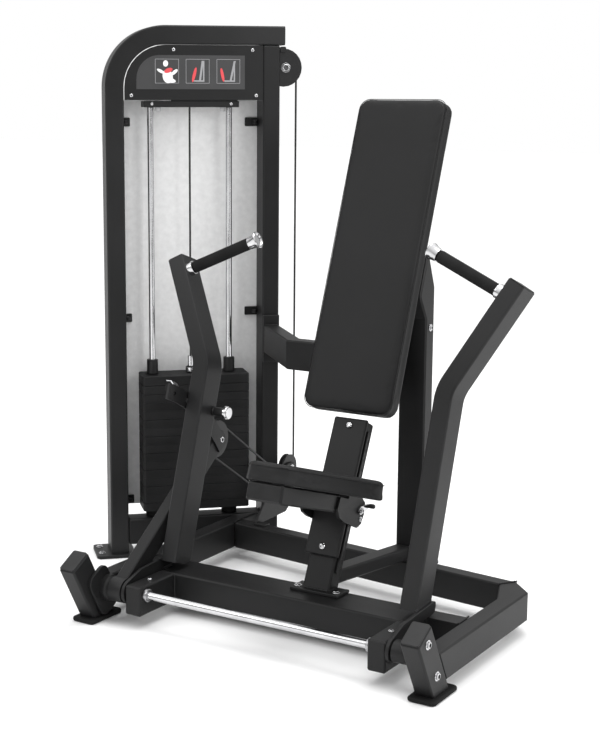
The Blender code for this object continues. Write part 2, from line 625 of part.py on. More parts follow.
def lever():
    y, z, _ = LEVER_PULLEY
    reach = math.hypot(y, z - SHAFT_HEIGHT)
    angle = math.atan2(z - SHAFT_HEIGHT, y)
    turn = Matrix.Translation((0, 0, SHAFT_HEIGHT)) @ Matrix.Rotation(angle, 4, "X")
    half = 0.027
    outline = [(0, -half), (reach, -half)]
    outline += arc_points((reach, 0), half, -math.pi / 2, math.pi / 2, 6)[1:-1]
    outline += [(reach, half), (0, half)]
    beam = prism("press_lever", outline, "X", LEVER_X[0], LEVER_X[1], FRAME_PAINT, 0.003)
    fork = box("fork_slot", (CABLE_X - 0.0105, CABLE_X + 0.0105), (reach - 0.062, reach + 0.1), (-0.1, 0.1))
    move(beam, turn)
    move(fork, turn)
    hub = rod("lever_hub", (LEVER_X[0] - 0.003, 0, SHAFT_HEIGHT), (LEVER_X[1], 0, SHAFT_HEIGHT), 0.034, None, 18)
    axle = rod("lever_axle", (LEVER_X[0] + 0.001, y, z), (LEVER_X[1] - 0.001, y, z), AXLE_RADIUS)
    inner = SECTOR_RADIUS - 0.022
    outer = SECTOR_RADIUS + 0.022
    shaft = (0, SHAFT_HEIGHT)
    strip = arc_points(shaft, inner, math.radians(34), math.radians(70), 8)
    strip += arc_points(shaft, outer, math.radians(70), math.radians(34), 8)
    sector = prism("sector", strip, "X", SECTOR_X[0], SECTOR_X[1])
    cut(beam, fork)
    join(beam, hub, axle, sector)
    base_angle = math.atan2(PIN_YZ[1] - SHAFT_HEIGHT, PIN_YZ[0])
    radius = math.hypot(PIN_YZ[1] - SHAFT_HEIGHT, PIN_YZ[0])
    for step in range(3):
        bearing = base_angle + math.radians(SECTOR_STEP * step)
        hole_y = radius * math.cos(bearing)
        hole_z = SHAFT_HEIGHT + radius * math.sin(bearing)
        cut(beam, rod("sector_hole", (-0.41, hole_y, hole_z), (-0.39, hole_y, hole_z), 0.0056, None, 12))
    cut(beam, shaft_hole(LEVER_X[0] - 0.01, LEVER_X[1] + 0.01))
    pivot(beam, (CABLE_X, 0, SHAFT_HEIGHT))


def arms():
    shaft = rod("press_shaft", (-SHAFT_END, 0, SHAFT_HEIGHT), (SHAFT_END, 0, SHAFT_HEIGHT), SHAFT_RADIUS, BRIGHT, 18)
    pivot(shaft, (0, 0, SHAFT_HEIGHT))
    for side, sign in (("left", -1), ("right", 1)):
        flip = MIRROR if sign < 0 else Matrix.Identity(4)
        path = filleted([ARM_FOOT, ARM_BEND, ARM_TOP], 0.060, 2)
        arm = bar("arm_" + side, path, TUBE, 0.080, (1, 0, 0), FRAME_PAINT, TUBE_BEVEL)
        trim = box("arm_foot_trim", (0.2, 0.6), (0.0, 0.4), (0.0, 0.130))
        plate_line = arc_points((0, SHAFT_HEIGHT), 0.032, math.radians(100), math.radians(292), 12)
        plate_line += [(0.100, 0.078), (0.150, 0.1185), (0.208, 0.1185), (0.222, 0.128), (0.224, 0.142), (0.214, 0.150)]
        plate_line.append((0.050, 0.140))
        plate = prism("arm_plate", plate_line, "X", 0.3893, 0.3993)
        bar_start = Vector(GRIP_BASE) + (Vector(GRIP_BASE) - Vector(GRIP_END)).normalized() * 0.012
        along = (Vector(GRIP_END) - bar_start).normalized()
        length = (Vector(GRIP_END) - bar_start).length
        core = lathe("grip_core", [(0, 0), (GRIP_BAR, 0), (GRIP_BAR, length - 0.002), (0.0185, length),
                                   (0.0185, length + 0.006), (0.016, length + 0.009), (0, length + 0.009)],
                     bar_start, along, None, 20)
        shoulder = rod("grip_shoulder", bar_start, Vector(GRIP_BASE) + along * 0.012, 0.020, None, 20)
        helpers = [plate, core, shoulder, trim]
        bore = rod("plate_bore", (0.38, 0, SHAFT_HEIGHT), (0.41, 0, SHAFT_HEIGHT), SHAFT_BORE)
        cuts = [trim, bore]
        join_list = [plate, core, shoulder]
        if sign < 0:
            y, z = PIN_YZ
            barrel = rod("pin_barrel", (0.350, y, z), (0.310, y, z), 0.0135, None, 20)
            pin_bore = rod("pin_bore", (0.30, y, z), (0.42, y, z), 0.0056)
            helpers += [barrel, pin_bore]
            join_list.append(barrel)
            cuts.append(pin_bore)
        for body in [arm, bore] + helpers:
            move(body, flip)
        cut(arm, trim)
        join(arm, *join_list)
        for tool in cuts[1:]:
            cut(arm, tool)
        pivot(arm, (sign * ARM_FOOT[0], 0, SHAFT_HEIGHT))
        start = Vector(GRIP_BASE) + along * 0.0125
        end = Vector(GRIP_END) - along * 0.0025
        sleeve = bored("grip_" + side, start, end, GRIP_RADIUS, GRIP_BORE, BLACK_RUBBER, 16)
        move(sleeve, flip)
    y, z = PIN_YZ
    knob = lathe("pop_pin", [(0, 0.0), (0.005, 0.0), (0.005, 0.0860), (0.012, 0.0870), (0.019, 0.0925),
                             (0.019, 0.1005), (0.016, 0.1045), (0, 0.1045)], (-0.3955, y, z), (1, 0, 0), BRIGHT, 18)
    pivot(knob, (-0.31, y, z))


def frame_uprights():
    low = TUBE_TOP + GAP
    front_line = PAD_FRONT + PAD_THICK / math.cos(PAD_LEAN) + 0.0005
    slope = math.tan(PAD_LEAN)

    def behind_pad(z, thick=0.0):
        return front_line + (z - PAD_LOW) * slope + thick

    outline = [(UPRIGHT_Y[0], low), (UPRIGHT_Y[1], low), (UPRIGHT_Y[1], 0.885), (behind_pad(0.985, 0.004), 0.985),
               (behind_pad(0.865, 0.004), 0.865), (UPRIGHT_Y[0], 0.800)]
    upright = prism("rear_upright", outline, "X", UPRIGHT_X[0], UPRIGHT_X[1], FRAME_PAINT, TUBE_BEVEL)
    outline = [(behind_pad(0.82), 0.82), (behind_pad(1.05), 1.05), (behind_pad(1.05, 0.008), 1.05),
               (behind_pad(0.82, 0.008), 0.82)]
    backing = prism("pad_backing", outline, "X", -0.035, 0.170)
    skew = Matrix.Translation((sum(UPRIGHT_X) / 2, 0.5885, 0)) @ Matrix.Rotation(math.radians(-6.7), 4, "Z")
    sole = box("upright_sole", (-0.075, 0.075), (-0.0235, 0.0235), (low, low + 0.008))
    move(sole, skew)
    join(upright, backing, sole)
    post = box("seat_post", (-0.040, 0.040), (0, 0.050), (-0.05, 0.470), FRAME_PAINT, TUBE_BEVEL)
    move(post, POST)
    ground = box("post_floor", (-0.2, 0.3), (0.0, 0.5), (-0.1, low))
    shoe = box("post_shoe", (SEAT_X - 0.066, SEAT_X + 0.078), (0.185, 0.2475), (low, low + 0.008))
    cut(post, ground)
    join(post, shoe)
    cover = box("post_cover", (-0.050, 0.050), (-0.0123, -GAP), (0.098, 0.4705), FRAME_PAINT, 0.003)
    move(cover, POST)
    teeth = [(0.0, 0.060), (0.0, 0.445), (0.006, 0.445)]
    for k in range(15):
        height = 0.437 - k * 0.0250
        teeth += [(0.006, height), (0.012, height - 0.003), (0.012, height - 0.012), (0.006, height - 0.015)]
    teeth.append((0.006, 0.060))
    rack = prism("rack_strip", [(0.012 + a, b) for a, b in teeth], "X", 0.0403, 0.0480, BRIGHT)
    move(rack, POST)
    near = 0.240
    far = UPRIGHT_Y[0] - GAP
    plan = [(SEAT_X - 0.022, near), (SEAT_X + 0.028, near), (UPRIGHT_X[0] + 0.052, far), (UPRIGHT_X[0] + 0.002, far)]
    centre = prism("centre_tube", plan, "Z", TUBE_TOP + 0.0095, 0.162, FRAME_PAINT, TUBE_BEVEL)
    shadow = box("post_shadow", (-0.2, 0.2), (-0.3, 0.050 + GAP), (-0.3, 0.5))
    move(shadow, POST)
    sole_clear = box("sole_clear", (-0.077, 0.077), (-0.0245, 0.0255), (0.0, low + 0.0085))
    move(sole_clear, skew)
    cut(centre, shadow, sole_clear)
    end = tower_point(0.5015, -GAP, 0.662)
    tube_y = (UPRIGHT_Y[0] + UPRIGHT_Y[1]) / 2
    back = TOWER.to_3x3() @ Vector((0, 1, 0))
    corner = end - back * ((end.y - tube_y) / back.y)
    path = [(UPRIGHT_X[0] - GAP, tube_y, 0.662), corner, end]
    link = bar("connecting_tube", path, 0.086, 0.046, (0, 0, 1), FRAME_PAINT, TUBE_BEVEL)
    flange = box("link_flange", (0.4765, 0.5265), (-0.009, -GAP), (0.590, 0.734))
    move(flange, TOWER)
    join(link, flange)


def pads():
    back_pad = prism("back_pad", rounded(2 * PAD_HALF, PAD_LENGTH, 0.030, 5, (0, PAD_LENGTH / 2)), "Y", 0, PAD_THICK,
                     PAD_VINYL, 0.012, 3)
    move(back_pad, PAD)
    half = [(0.035, 0.0), (0.055, 0.006), (0.070, 0.022), (0.112, 0.117), (0.148, 0.215), (0.168, 0.285),
            (0.170, 0.305), (0.158, 0.322), (0.135, 0.328)]
    outline = half + [(-x, y) for x, y in reversed(half)]
    seat = prism("seat_pad", outline, "Z", -SEAT_THICK, 0, PAD_VINYL, 0.012, 3)
    move(seat, SEAT)
    pivot(seat, SEAT @ Vector((0, 0.25, -SEAT_THICK)))


def carriage():
    under = -SEAT_THICK - GAP
    tube = box("seat_carriage", (-0.052, 0.052), (0.004, 0.300), (under - 0.048, under), FRAME_PAINT, TUBE_BEVEL)
    move(tube, SEAT)
    face = box("cover_clear", (-0.15, 0.15), (-0.0128, 0.2), (-0.3, 0.8))
    move(face, POST)
    cut(tube, face)
    side_line = [(-0.080, 0.248), (-0.082, 0.215), (-0.062, 0.196), (-0.032, 0.190), (0.045, 0.190), (0.062, 0.205),
                 (0.068, 0.235), (0.060, 0.262), (0.030, 0.274), (-0.032, 0.274), (-0.036, 0.252)]
    helpers = []
    for name, low, high in (("carriage_left", -0.0585, -0.0508), ("carriage_right", 0.0508, 0.0585)):
        helpers.append(move(prism(name, side_line, "X", low, high), POST))
    strap = box("carriage_strap", (-0.055, 0.055), (0.0508, 0.060), (0.196, 0.256))
    helpers.append(move(strap, POST))
    pin = rod("latch_stud", (0.055, *LATCH_YZ), (0.0655, *LATCH_YZ), 0.005)
    helpers.append(move(pin, POST))
    join(tube, *helpers)
    pivot(tube, POST @ Vector((0, 0.025, 0.2)))
    latch_line = arc_points(LATCH_YZ, 0.011, LATCH_ANGLE + math.pi / 2, LATCH_ANGLE + math.pi * 1.5, 6)
    for reach, side in ((0.044, -0.0055), (0.050, 0.0), (0.044, 0.0055)):
        run = Vector((math.cos(LATCH_ANGLE), math.sin(LATCH_ANGLE)))
        spot = Vector(LATCH_YZ) + run * reach + Vector((-run.y, run.x)) * side
        latch_line.append((spot.x, spot.y))
    latch = prism("seat_latch", latch_line, "X", 0.0590, 0.0645, BRIGHT)
    hole = rod("latch_hole", (0.05, *LATCH_YZ), (0.07, *LATCH_YZ), 0.0053)
    for body in (latch, hole):
        move(body, POST)
    cut(latch, hole)
    pivot(latch, POST @ Vector((0.0617, *LATCH_YZ)))


def centre_on_floor():
    """Moves the whole machine so that the origin is under the middle of its outline."""
    for body in bpy.data.objects:
        body.location = Vector(body.location) + Vector(ORIGIN_SHIFT)


base_frame()
tower()
stack()
pulleys()
cables()
lever()
arms()
frame_uprights()
pads()
carriage()
centre_on_floor()
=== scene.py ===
import json
import math

import bmesh
import bpy
from mathutils import Matrix, Vector, noise


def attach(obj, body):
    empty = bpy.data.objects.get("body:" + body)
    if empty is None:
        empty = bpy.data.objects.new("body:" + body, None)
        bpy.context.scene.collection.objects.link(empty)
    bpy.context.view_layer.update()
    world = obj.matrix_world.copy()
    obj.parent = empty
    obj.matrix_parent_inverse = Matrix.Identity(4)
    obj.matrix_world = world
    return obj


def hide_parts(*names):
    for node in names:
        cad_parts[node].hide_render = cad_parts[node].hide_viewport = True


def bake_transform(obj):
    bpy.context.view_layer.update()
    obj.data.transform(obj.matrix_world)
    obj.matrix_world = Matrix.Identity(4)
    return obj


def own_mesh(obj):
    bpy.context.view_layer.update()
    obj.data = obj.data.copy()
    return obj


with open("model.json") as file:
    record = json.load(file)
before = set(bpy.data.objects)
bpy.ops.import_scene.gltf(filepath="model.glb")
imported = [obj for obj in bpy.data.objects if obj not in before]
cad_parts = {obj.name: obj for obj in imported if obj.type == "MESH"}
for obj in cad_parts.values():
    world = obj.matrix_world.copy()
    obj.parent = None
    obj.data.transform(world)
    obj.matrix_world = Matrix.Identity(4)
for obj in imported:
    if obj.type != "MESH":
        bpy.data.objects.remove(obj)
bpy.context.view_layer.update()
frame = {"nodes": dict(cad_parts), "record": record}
NODES = frame["nodes"]
RECORD = frame["record"]
BODY_OF = {n: body for body, nodes in RECORD["behaviour"]["bodies"].items() for n in nodes}
SLOT_OF = {part["node"]: part["material_slot"] for part in RECORD["subparts"]}

# The machine's own coordinates: X = 0 midway between the legs, Y = 0 at the press shaft.
SHIFT = Vector((0.1819, -0.3942, 0.0))
SHAFT_HEIGHT = 0.090
TUBE_TOP = 0.115
SHOE_TOP = 0.1236
LEG_LEAN = math.radians(29.0)
POST_LEAN = math.radians(24.5)
PAD_LEAN = math.radians(20.4)
SEAT_TILT = math.radians(17.0)
TOWER_ANGLE = math.radians(45.2)
SEAT_X = 0.060
PAD_FRONT = 0.362
PAD_LOW = 0.570
PAD_THICK = 0.052
SEAT_THICK = 0.050

# The tower's own coordinates: S runs along its front, the depth goes back from its front face.
TOWER_TOP = 1.594
TOWER_DEPTH = 0.090
COLUMN_WIDTH = 0.055
ARCH_RADIUS = 0.1525
TOP_TUBE_END = 0.542
ROD_S = (0.143, 0.380)
ROD_DEPTH = 0.042
STACK_LOW = 0.139
PLATE_COUNT = 15
PLATE_PITCH = 0.02593
LIFTED_PLATES = 3
SIGN_MIDDLE = 1.462

# Pulleys and cable: centres in (S, Z) on the tower and in (Y, Z) at CABLE_X, each with its radius.
CABLE_RADIUS = 0.003
CABLE_S = 0.261
CABLE_X = -0.421
TOP_PULLEY = ((0.311, 1.472), 0.050)
SIDE_PULLEY = ((0.5398, 1.476), 0.046)
BASE_PULLEY = ((0.8482, 0.250), 0.036)
LEVER_PULLEY = ((0.449, 0.418), 0.048)
CABLE_ANCHOR = (0.800, 0.137)

ARM_FOOT = (0.3649, 0.172, 0.131)
ARM_BEND = (0.3690, 0.338, 0.661)
ARM_TOP = (0.5160, 0.425, 0.930)
GRIP_BASE = Vector((0.470, 0.4035, 0.912))
GRIP_END = Vector((0.269, 0.426, 1.000))
SECTOR_RADIUS = 0.547

HERE = Matrix.Translation(SHIFT)
TOWER = Matrix.Translation(Vector((-0.8042, 0.4387, 0)) + SHIFT) @ Matrix.Rotation(TOWER_ANGLE, 4, "Z")
POST = Matrix.Translation(Vector((SEAT_X, 0.200, TUBE_TOP)) + SHIFT) @ Matrix.Rotation(-POST_LEAN, 4, "X")
PAD = Matrix.Translation(Vector((0.050, PAD_FRONT, PAD_LOW)) + SHIFT) @ Matrix.Rotation(-PAD_LEAN, 4, "X")
SEAT = Matrix.Translation(Vector((SEAT_X, -0.030, 0.512)) + SHIFT) @ Matrix.Rotation(-SEAT_TILT, 4, "X")
OUT = (0, -1, 0)
RIGHT = (1, 0, 0)
UP = (0, 0, 1)


# ---------------------------------------------------------------- camera and light
def add_camera():
    """Camera solved from the photograph: its angle, place, lens and shift."""
    yaw, pitch, roll = (math.radians(a) for a in (32.89, 10.09, 0.12))
    ahead = Vector((-math.sin(yaw) * math.cos(pitch), math.cos(yaw) * math.cos(pitch), -math.sin(pitch)))
    level = Vector((math.cos(yaw), math.sin(yaw), 0))
    right = level * math.cos(roll) + level.cross(ahead) * math.sin(roll)
    up = right.cross(ahead)
    spot = Vector((1.9837, -3.0966, 1.4049)) + SHIFT
    data = bpy.data.cameras.new("camera")
    data.lens = 74.85
    data.sensor_width = 36.0
    data.shift_x = 0.071
    data.shift_y = -0.0055
    body = bpy.data.objects.new("camera", data)
    bpy.context.scene.collection.objects.link(body)
    body.matrix_world = Matrix(((right.x, up.x, -ahead.x, spot.x), (right.y, up.y, -ahead.y, spot.y),
                                (right.z, up.z, -ahead.z, spot.z), (0, 0, 0, 1)))
    bpy.context.scene.camera = body


def add_lamp(name, spot, aim, size, power):
    data = bpy.data.lights.new(name, "AREA")
    data.shape = "DISK"
    data.size = size
    data.energy = power
    body = bpy.data.objects.new(name, data)
    bpy.context.scene.collection.objects.link(body)
    body.location = spot
    body.rotation_euler = (Vector(aim) - Vector(spot)).to_track_quat("-Z", "Y").to_euler()


def softboxes(tree):
    """White to the camera; the metal sees a bright ceiling over light and dark upright panels."""
    place = tree.nodes.new("ShaderNodeTexCoord")
    parts = tree.nodes.new("ShaderNodeSeparateXYZ")
    tree.links.new(place.outputs["Generated"], parts.inputs["Vector"])

    def figure(operation, first, second=None, third=None):
        node = tree.nodes.new("ShaderNodeMath")
        node.operation = operation
        for slot, value in enumerate((first, second, third)):
            if value is None:
                continue
            if isinstance(value, float):
                node.inputs[slot].default_value = value
            else:
                tree.links.new(value, node.inputs[slot])
        return node.outputs[0]

    around = figure("ARCTAN2", parts.outputs["Y"], parts.outputs["X"])
    wave = figure("SINE", figure("MULTIPLY", around, 3.0))
    panels = figure("MULTIPLY_ADD", wave, 0.38, 0.48)
    height = figure("MAXIMUM", parts.outputs["Z"], 0.0)
    ceiling = figure("MULTIPLY_ADD", height, 1.25, 0.40)
    share = figure("MINIMUM", figure("MULTIPLY", height, 2.5), 1.0)
    mixed = figure("ADD", figure("MULTIPLY", ceiling, share),
                   figure("MULTIPLY", panels, figure("SUBTRACT", 1.0, share)))
    path = tree.nodes.new("ShaderNodeLightPath")
    seen = path.outputs["Is Camera Ray"]
    level = figure("ADD", seen, figure("MULTIPLY", mixed, figure("SUBTRACT", 1.0, seen)))
    tree.links.new(level, tree.nodes["Background"].inputs["Strength"])
    tree.nodes["Background"].inputs["Color"].default_value = (1.0, 1.0, 1.0, 1.0)


def add_studio():
    """Pale paper floor, three soft lamps and the softbox world."""
    bpy.context.scene.view_settings.view_transform = "Standard"
    world = bpy.data.worlds.new("studio")
    world.use_nodes = True
    softboxes(world.node_tree)
    bpy.context.scene.world = world
    add_lamp("key", (-2.6, -3.4, 3.4), (0, 0, 0.6), 1.6, 34)
    add_lamp("side", (3.6, -0.6, 2.2), (0, 0, 0.6), 1.4, 40)
    add_lamp("top", (0.4, 0.2, 4.2), (0, 0, 0.3), 2.2, 60)
    mesh = bpy.data.meshes.new("floor")
    work = bmesh.new()
    bmesh.ops.create_grid(work, x_segments=1, y_segments=1, size=30.0)
    work.to_mesh(mesh)
    work.free()
    floor = bpy.data.objects.new("floor", mesh)
    bpy.context.scene.collection.objects.link(floor)
    floor.location = (0, 0, -0.0006)
    paint = bpy.data.materials.new("floor_paper")
    paint.use_nodes = True
    shader = paint.node_tree.nodes["Principled BSDF"]
    shader.inputs["Base Color"].default_value = (0.93, 0.93, 0.93, 1)
    shader.inputs["Roughness"].default_value = 0.9
    shader.inputs["Specular IOR Level"].default_value = 0.1
    mesh.materials.append(paint)


# ---------------------------------------------------------------- materials
def surface(name, dark, light, rough, grain, bump, depth, patch, metal=0.0, kind="noise", spread=0.06,
            specular=0.5, edge_wear_and_highlight=0.0):
    """Principled material with mottled colour, uneven roughness and a fine bumped grain.

    dark and light are grey levels or RGB colours; the edge term lifts convex edges towards a much lighter
    colour, partly as worn paint and partly as a painted highlight.
    """
    dark, light = (c if isinstance(c, tuple) else (c, c, c) for c in (dark, light))
    made = bpy.data.materials.new(name)
    made.use_nodes = True
    tree = made.node_tree
    shader = tree.nodes["Principled BSDF"]
    shader.inputs["Metallic"].default_value = metal
    shader.inputs["Specular IOR Level"].default_value = specular
    place = tree.nodes.new("ShaderNodeTexCoord")
    broad = tree.nodes.new("ShaderNodeTexNoise")
    broad.inputs["Scale"].default_value = patch
    broad.inputs["Detail"].default_value = 6.0
    tree.links.new(place.outputs["Object"], broad.inputs["Vector"])
    ramp = tree.nodes.new("ShaderNodeValToRGB")
    ramp.color_ramp.elements[0].position = 0.3
    ramp.color_ramp.elements[0].color = dark + (1,)
    ramp.color_ramp.elements[1].position = 0.7
    ramp.color_ramp.elements[1].color = light + (1,)
    tree.links.new(broad.outputs["Fac"], ramp.inputs["Fac"])
    colour = ramp.outputs["Color"]
    # Pointiness lightens convex edges: partly worn paint, partly a painted highlight along the edges.
    if edge_wear_and_highlight:
        shape = tree.nodes.new("ShaderNodeNewGeometry")
        edge = tree.nodes.new("ShaderNodeMapRange")
        edge.inputs["From Min"].default_value = 0.53
        edge.inputs["From Max"].default_value = 0.60
        edge.inputs["To Max"].default_value = edge_wear_and_highlight
        tree.links.new(shape.outputs["Pointiness"], edge.inputs["Value"])
        mix = tree.nodes.new("ShaderNodeMix")
        mix.data_type = "RGBA"
        mix.inputs["B"].default_value = tuple(min(1.0, c * 4 + 0.05) for c in light) + (1,)
        tree.links.new(edge.outputs["Result"], mix.inputs["Factor"])
        tree.links.new(colour, mix.inputs["A"])
        colour = mix.outputs["Result"]
    tree.links.new(colour, shader.inputs["Base Color"])
    if kind == "leather":
        fine = tree.nodes.new("ShaderNodeTexVoronoi")
        fine.feature = "DISTANCE_TO_EDGE"
        height = fine.outputs["Distance"]
    else:
        fine = tree.nodes.new("ShaderNodeTexNoise")
        fine.inputs["Detail"].default_value = 3.0
        height = fine.outputs["Fac"]
    fine.inputs["Scale"].default_value = grain
    tree.links.new(place.outputs["Object"], fine.inputs["Vector"])
    uneven = tree.nodes.new("ShaderNodeMapRange")
    uneven.inputs["To Min"].default_value = max(0.02, rough - spread)
    uneven.inputs["To Max"].default_value = rough + spread
    tree.links.new(broad.outputs["Fac"], uneven.inputs["Value"])
    tree.links.new(uneven.outputs["Result"], shader.inputs["Roughness"])
    relief = tree.nodes.new("ShaderNodeBump")
    relief.inputs["Strength"].default_value = bump
    relief.inputs["Distance"].default_value = depth
    tree.links.new(height, relief.inputs["Height"])
    tree.links.new(relief.outputs["Normal"], shader.inputs["Normal"])
    return made


PAINT = surface("satin_powder_coat", (0.0080, 0.0080, 0.0082), (0.0115, 0.0115, 0.0118), rough=0.46,
                grain=1400, bump=0.30, depth=0.0003, patch=7.0, specular=0.22, edge_wear_and_highlight=0.15)
VINYL = surface("black_vinyl", (0.0085, 0.0085, 0.0087), (0.0120, 0.0120, 0.0123), rough=0.52,
                grain=520, bump=0.40, depth=0.0004, patch=5.0, kind="leather", specular=0.20)
RUBBER = surface("black_rubber", 0.007, 0.012, rough=0.78, grain=700, bump=0.5, depth=0.0004, patch=12.0,
                 specular=0.18)
FOAM = surface("grip_foam", 0.008, 0.014, rough=0.85, grain=1100, bump=0.7, depth=0.0006, patch=20.0,
               specular=0.15)
CHROME = surface("chrome", (0.52, 0.52, 0.53), (0.66, 0.66, 0.67), rough=0.14, grain=260, bump=0.04,
                 depth=0.0002, patch=30.0, metal=1.0, spread=0.05)
IRON = surface("painted_casting", (0.006, 0.006, 0.0062), (0.012, 0.012, 0.0124), rough=0.58,
               grain=420, bump=0.55, depth=0.0006, patch=14.0, specular=0.18, edge_wear_and_highlight=0.15)
SHEET = surface("pale_shield", 0.76, 0.84, rough=0.5, grain=90, bump=0.2, depth=0.0004, patch=60.0,
                specular=0.3)
NYLON = surface("black_nylon", (0.007, 0.007, 0.0072), (0.013, 0.013, 0.0134), rough=0.40,
                grain=800, bump=0.2, depth=0.0003, patch=25.0, specular=0.3)
CABLE = surface("coated_cable", (0.010, 0.010, 0.0104), (0.030, 0.030, 0.031), rough=0.35,
                grain=1600, bump=0.5, depth=0.0004, patch=60.0, specular=0.3)
ZINC = surface("zinc_plate", (0.34, 0.34, 0.35), (0.48, 0.48, 0.49), rough=0.30, grain=500, bump=0.15,
               depth=0.0002, patch=25.0, metal=1.0)
INK = {"grain": 800, "bump": 0.1, "depth": 0.0001, "patch": 9.0}
LABEL = surface("sign_grey", (0.030, 0.030, 0.031), (0.038, 0.038, 0.039), rough=0.4, **INK)
WHITE = surface("sign_white", 0.80, 0.86, rough=0.5, **INK)
RED = surface("sign_red", (0.62, 0.05, 0.06), (0.70, 0.07, 0.08), rough=0.5, **INK)
GREY = surface("sign_line", (0.26, 0.26, 0.27), (0.32, 0.32, 0.33), rough=0.5, **INK)
BY_SLOT = {"frame_paint": PAINT, "vinyl": VINYL, "rubber": RUBBER, "chrome": CHROME, "cast_iron": IRON,
           "pale_panel": SHEET, "nylon": NYLON}


# ---------------------------------------------------------------- shape helpers
def piece(name, work, look, body, bevel=0.0, matrix=None):
    """Finished object that rides on a body; a bevel, if any, rounds its small edges."""
    bmesh.ops.recalc_face_normals(work, faces=work.faces)
    mesh = bpy.data.meshes.new(name)
    work.to_mesh(mesh)
    work.free()
    if matrix is not None:
        mesh.transform(matrix)
        if matrix.determinant() < 0:
            mesh.flip_normals()
    mesh.materials.append(look)
    made = bpy.data.objects.new(name, mesh)
    bpy.context.scene.collection.objects.link(made)
    mesh.shade_smooth()
    mesh.set_sharp_from_angle(angle=math.radians(38))
    if bevel:
        edge = made.modifiers.new("edges", "BEVEL")
        edge.width = bevel
        edge.segments = 2
        edge.limit_method = "ANGLE"
        edge.angle_limit = math.radians(30.0)
        edge.harden_normals = True
    weigh = made.modifiers.new("flats", "WEIGHTED_NORMAL")
    weigh.keep_sharp = True
    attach(made, body)
    return made


def refined(node, look):
    """Round-edged copy of a CAD node that stands in its place."""
    work = bmesh.new()
    work.from_mesh(NODES[node].data)
    bmesh.ops.remove_doubles(work, verts=work.verts, dist=0.00002)
    bmesh.ops.dissolve_limit(work, angle_limit=math.radians(1.0), verts=work.verts, edges=work.edges)
    made = piece("vis_" + node, work, look, BODY_OF[node], 0.0012)
    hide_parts(node)


def circle(radius, sides):
    return [(radius * math.cos(2 * math.pi * k / sides), radius * math.sin(2 * math.pi * k / sides))
            for k in range(sides)]


def ring_section(width, depth, radius, steps=4):
    """Rectangle about the origin with its corners rounded."""
    points = []
    for corner, (a, b) in enumerate(((1, 1), (-1, 1), (-1, -1), (1, -1))):
        for k in range(steps + 1):
            turn = math.pi / 2 * (corner + k / steps)
            points.append((a * (width / 2 - radius) + radius * math.cos(turn),
                           b * (depth / 2 - radius) + radius * math.sin(turn)))
    return points


def skinned(work, rings):
    """Side faces between rings of vertices, and a face over each end."""
    count = len(rings[0])
    for first, second in zip(rings, rings[1:]):
        for k in range(count):
            m = (k + 1) % count
            work.faces.new((first[k], first[m], second[m], second[k]))
    work.faces.new(rings[0])
    work.faces.new(rings[-1])
    return work


def swept(path, section, side):
    """Section pushed along a path with mitred joints and flat ends."""
    path = [Vector(p) for p in path]
    runs = [(b - a).normalized() for a, b in zip(path, path[1:])]
    u = Vector(side)
    u = (u - runs[0] * u.dot(runs[0])).normalized()
    work = bmesh.new()
    rings = []
    for i, point in enumerate(path):
        run = runs[max(i - 1, 0)]
        v = run.cross(u)
        plane = run
        if 0 < i < len(path) - 1:
            plane = (runs[i - 1] + runs[i]).normalized()
        ring = []
        for a, b in section:
            offset = u * a + v * b
            ring.append(work.verts.new(point + offset - run * (offset.dot(plane) / run.dot(plane))))
        rings.append(ring)
        if 0 < i < len(path) - 1:
            u = run.rotation_difference(runs[i]) @ u
    return skinned(work, rings)


def arc(centre, radius, start, end, steps):
    return [(centre[0] + radius * math.cos(start + (end - start) * k / steps),
             centre[1] + radius * math.sin(start + (end - start) * k / steps)) for k in range(steps + 1)]


def filleted(points, radius, steps):
    """Path through the points with each inner corner turned into an arc."""
    points = [Vector(p) for p in points]
    path = [points[0]]
    for before, corner, after in zip(points, points[1:], points[2:]):
        run_in = (corner - before).normalized()
        run_out = (after - corner).normalized()
        turn = run_in.angle(run_out)
        start = corner - run_in * (radius * math.tan(turn / 2))
        inward = (run_out - run_in * run_out.dot(run_in)).normalized()
        centre = start + inward * radius
        for k in range(steps + 1):
            angle = turn * k / steps
            path.append(centre - inward * (radius * math.cos(angle)) + run_in * (radius * math.sin(angle)))
    path.append(points[-1])
    return path


def stood(point, normal):
    """Matrix that stands local +Z on a point along a normal."""
    turn = Vector((0, 0, 1)).rotation_difference(Vector(normal)).to_matrix().to_4x4()
    return Matrix.Translation(Vector(point)) @ turn


def turned(profile, sides=32):
    """Closed body turned about local Z from (radius, height) points, with flat ends."""
    work = bmesh.new()
    rings = [[work.verts.new((a, b, height)) for a, b in circle(radius, sides)] for radius, height in profile]
    return skinned(work, rings)


def plate(outline, thick):
    """Flat plate from an outline in local X and Y, standing from Z = 0 to its thickness."""
    work = bmesh.new()
    low = [work.verts.new((a, b, 0)) for a, b in outline]
    high = [work.verts.new((a, b, thick)) for a, b in outline]
    work.faces.new(low)
    work.faces.new(high)
    for k in range(len(outline)):
        m = (k + 1) % len(outline)
        work.faces.new((low[k], low[m], high[m], high[k]))
    return work


def merged(works):
    """One bmesh from several."""
    total = bmesh.new()
    for work in works:
        mesh = bpy.data.meshes.new("part")
        work.to_mesh(mesh)
        work.free()
        total.from_mesh(mesh)
        bpy.data.meshes.remove(mesh)
    return total


def shifted(work, matrix):
    bmesh.ops.transform(work, matrix=matrix, verts=work.verts)
    return work


def bolt(name, point, normal, body, matrix=HERE, size=0.0095):
    """Hexagon head with a chamfer, on a round washer."""
    washer = turned([(size * 1.30, 0.0), (size * 1.30, 0.0016), (size * 1.22, 0.0019)], 28)
    flat = size * 0.98
    head = turned([(flat, 0.0019), (flat, size * 0.62), (flat * 0.86, size * 0.70)], 6)
    dimple = turned([(flat * 0.62, size * 0.70), (flat * 0.55, size * 0.66)], 20)
    where = matrix @ stood(point, normal)
    piece(name, merged([washer, head, dimple]), CHROME, body, 0.0004, matrix=where)


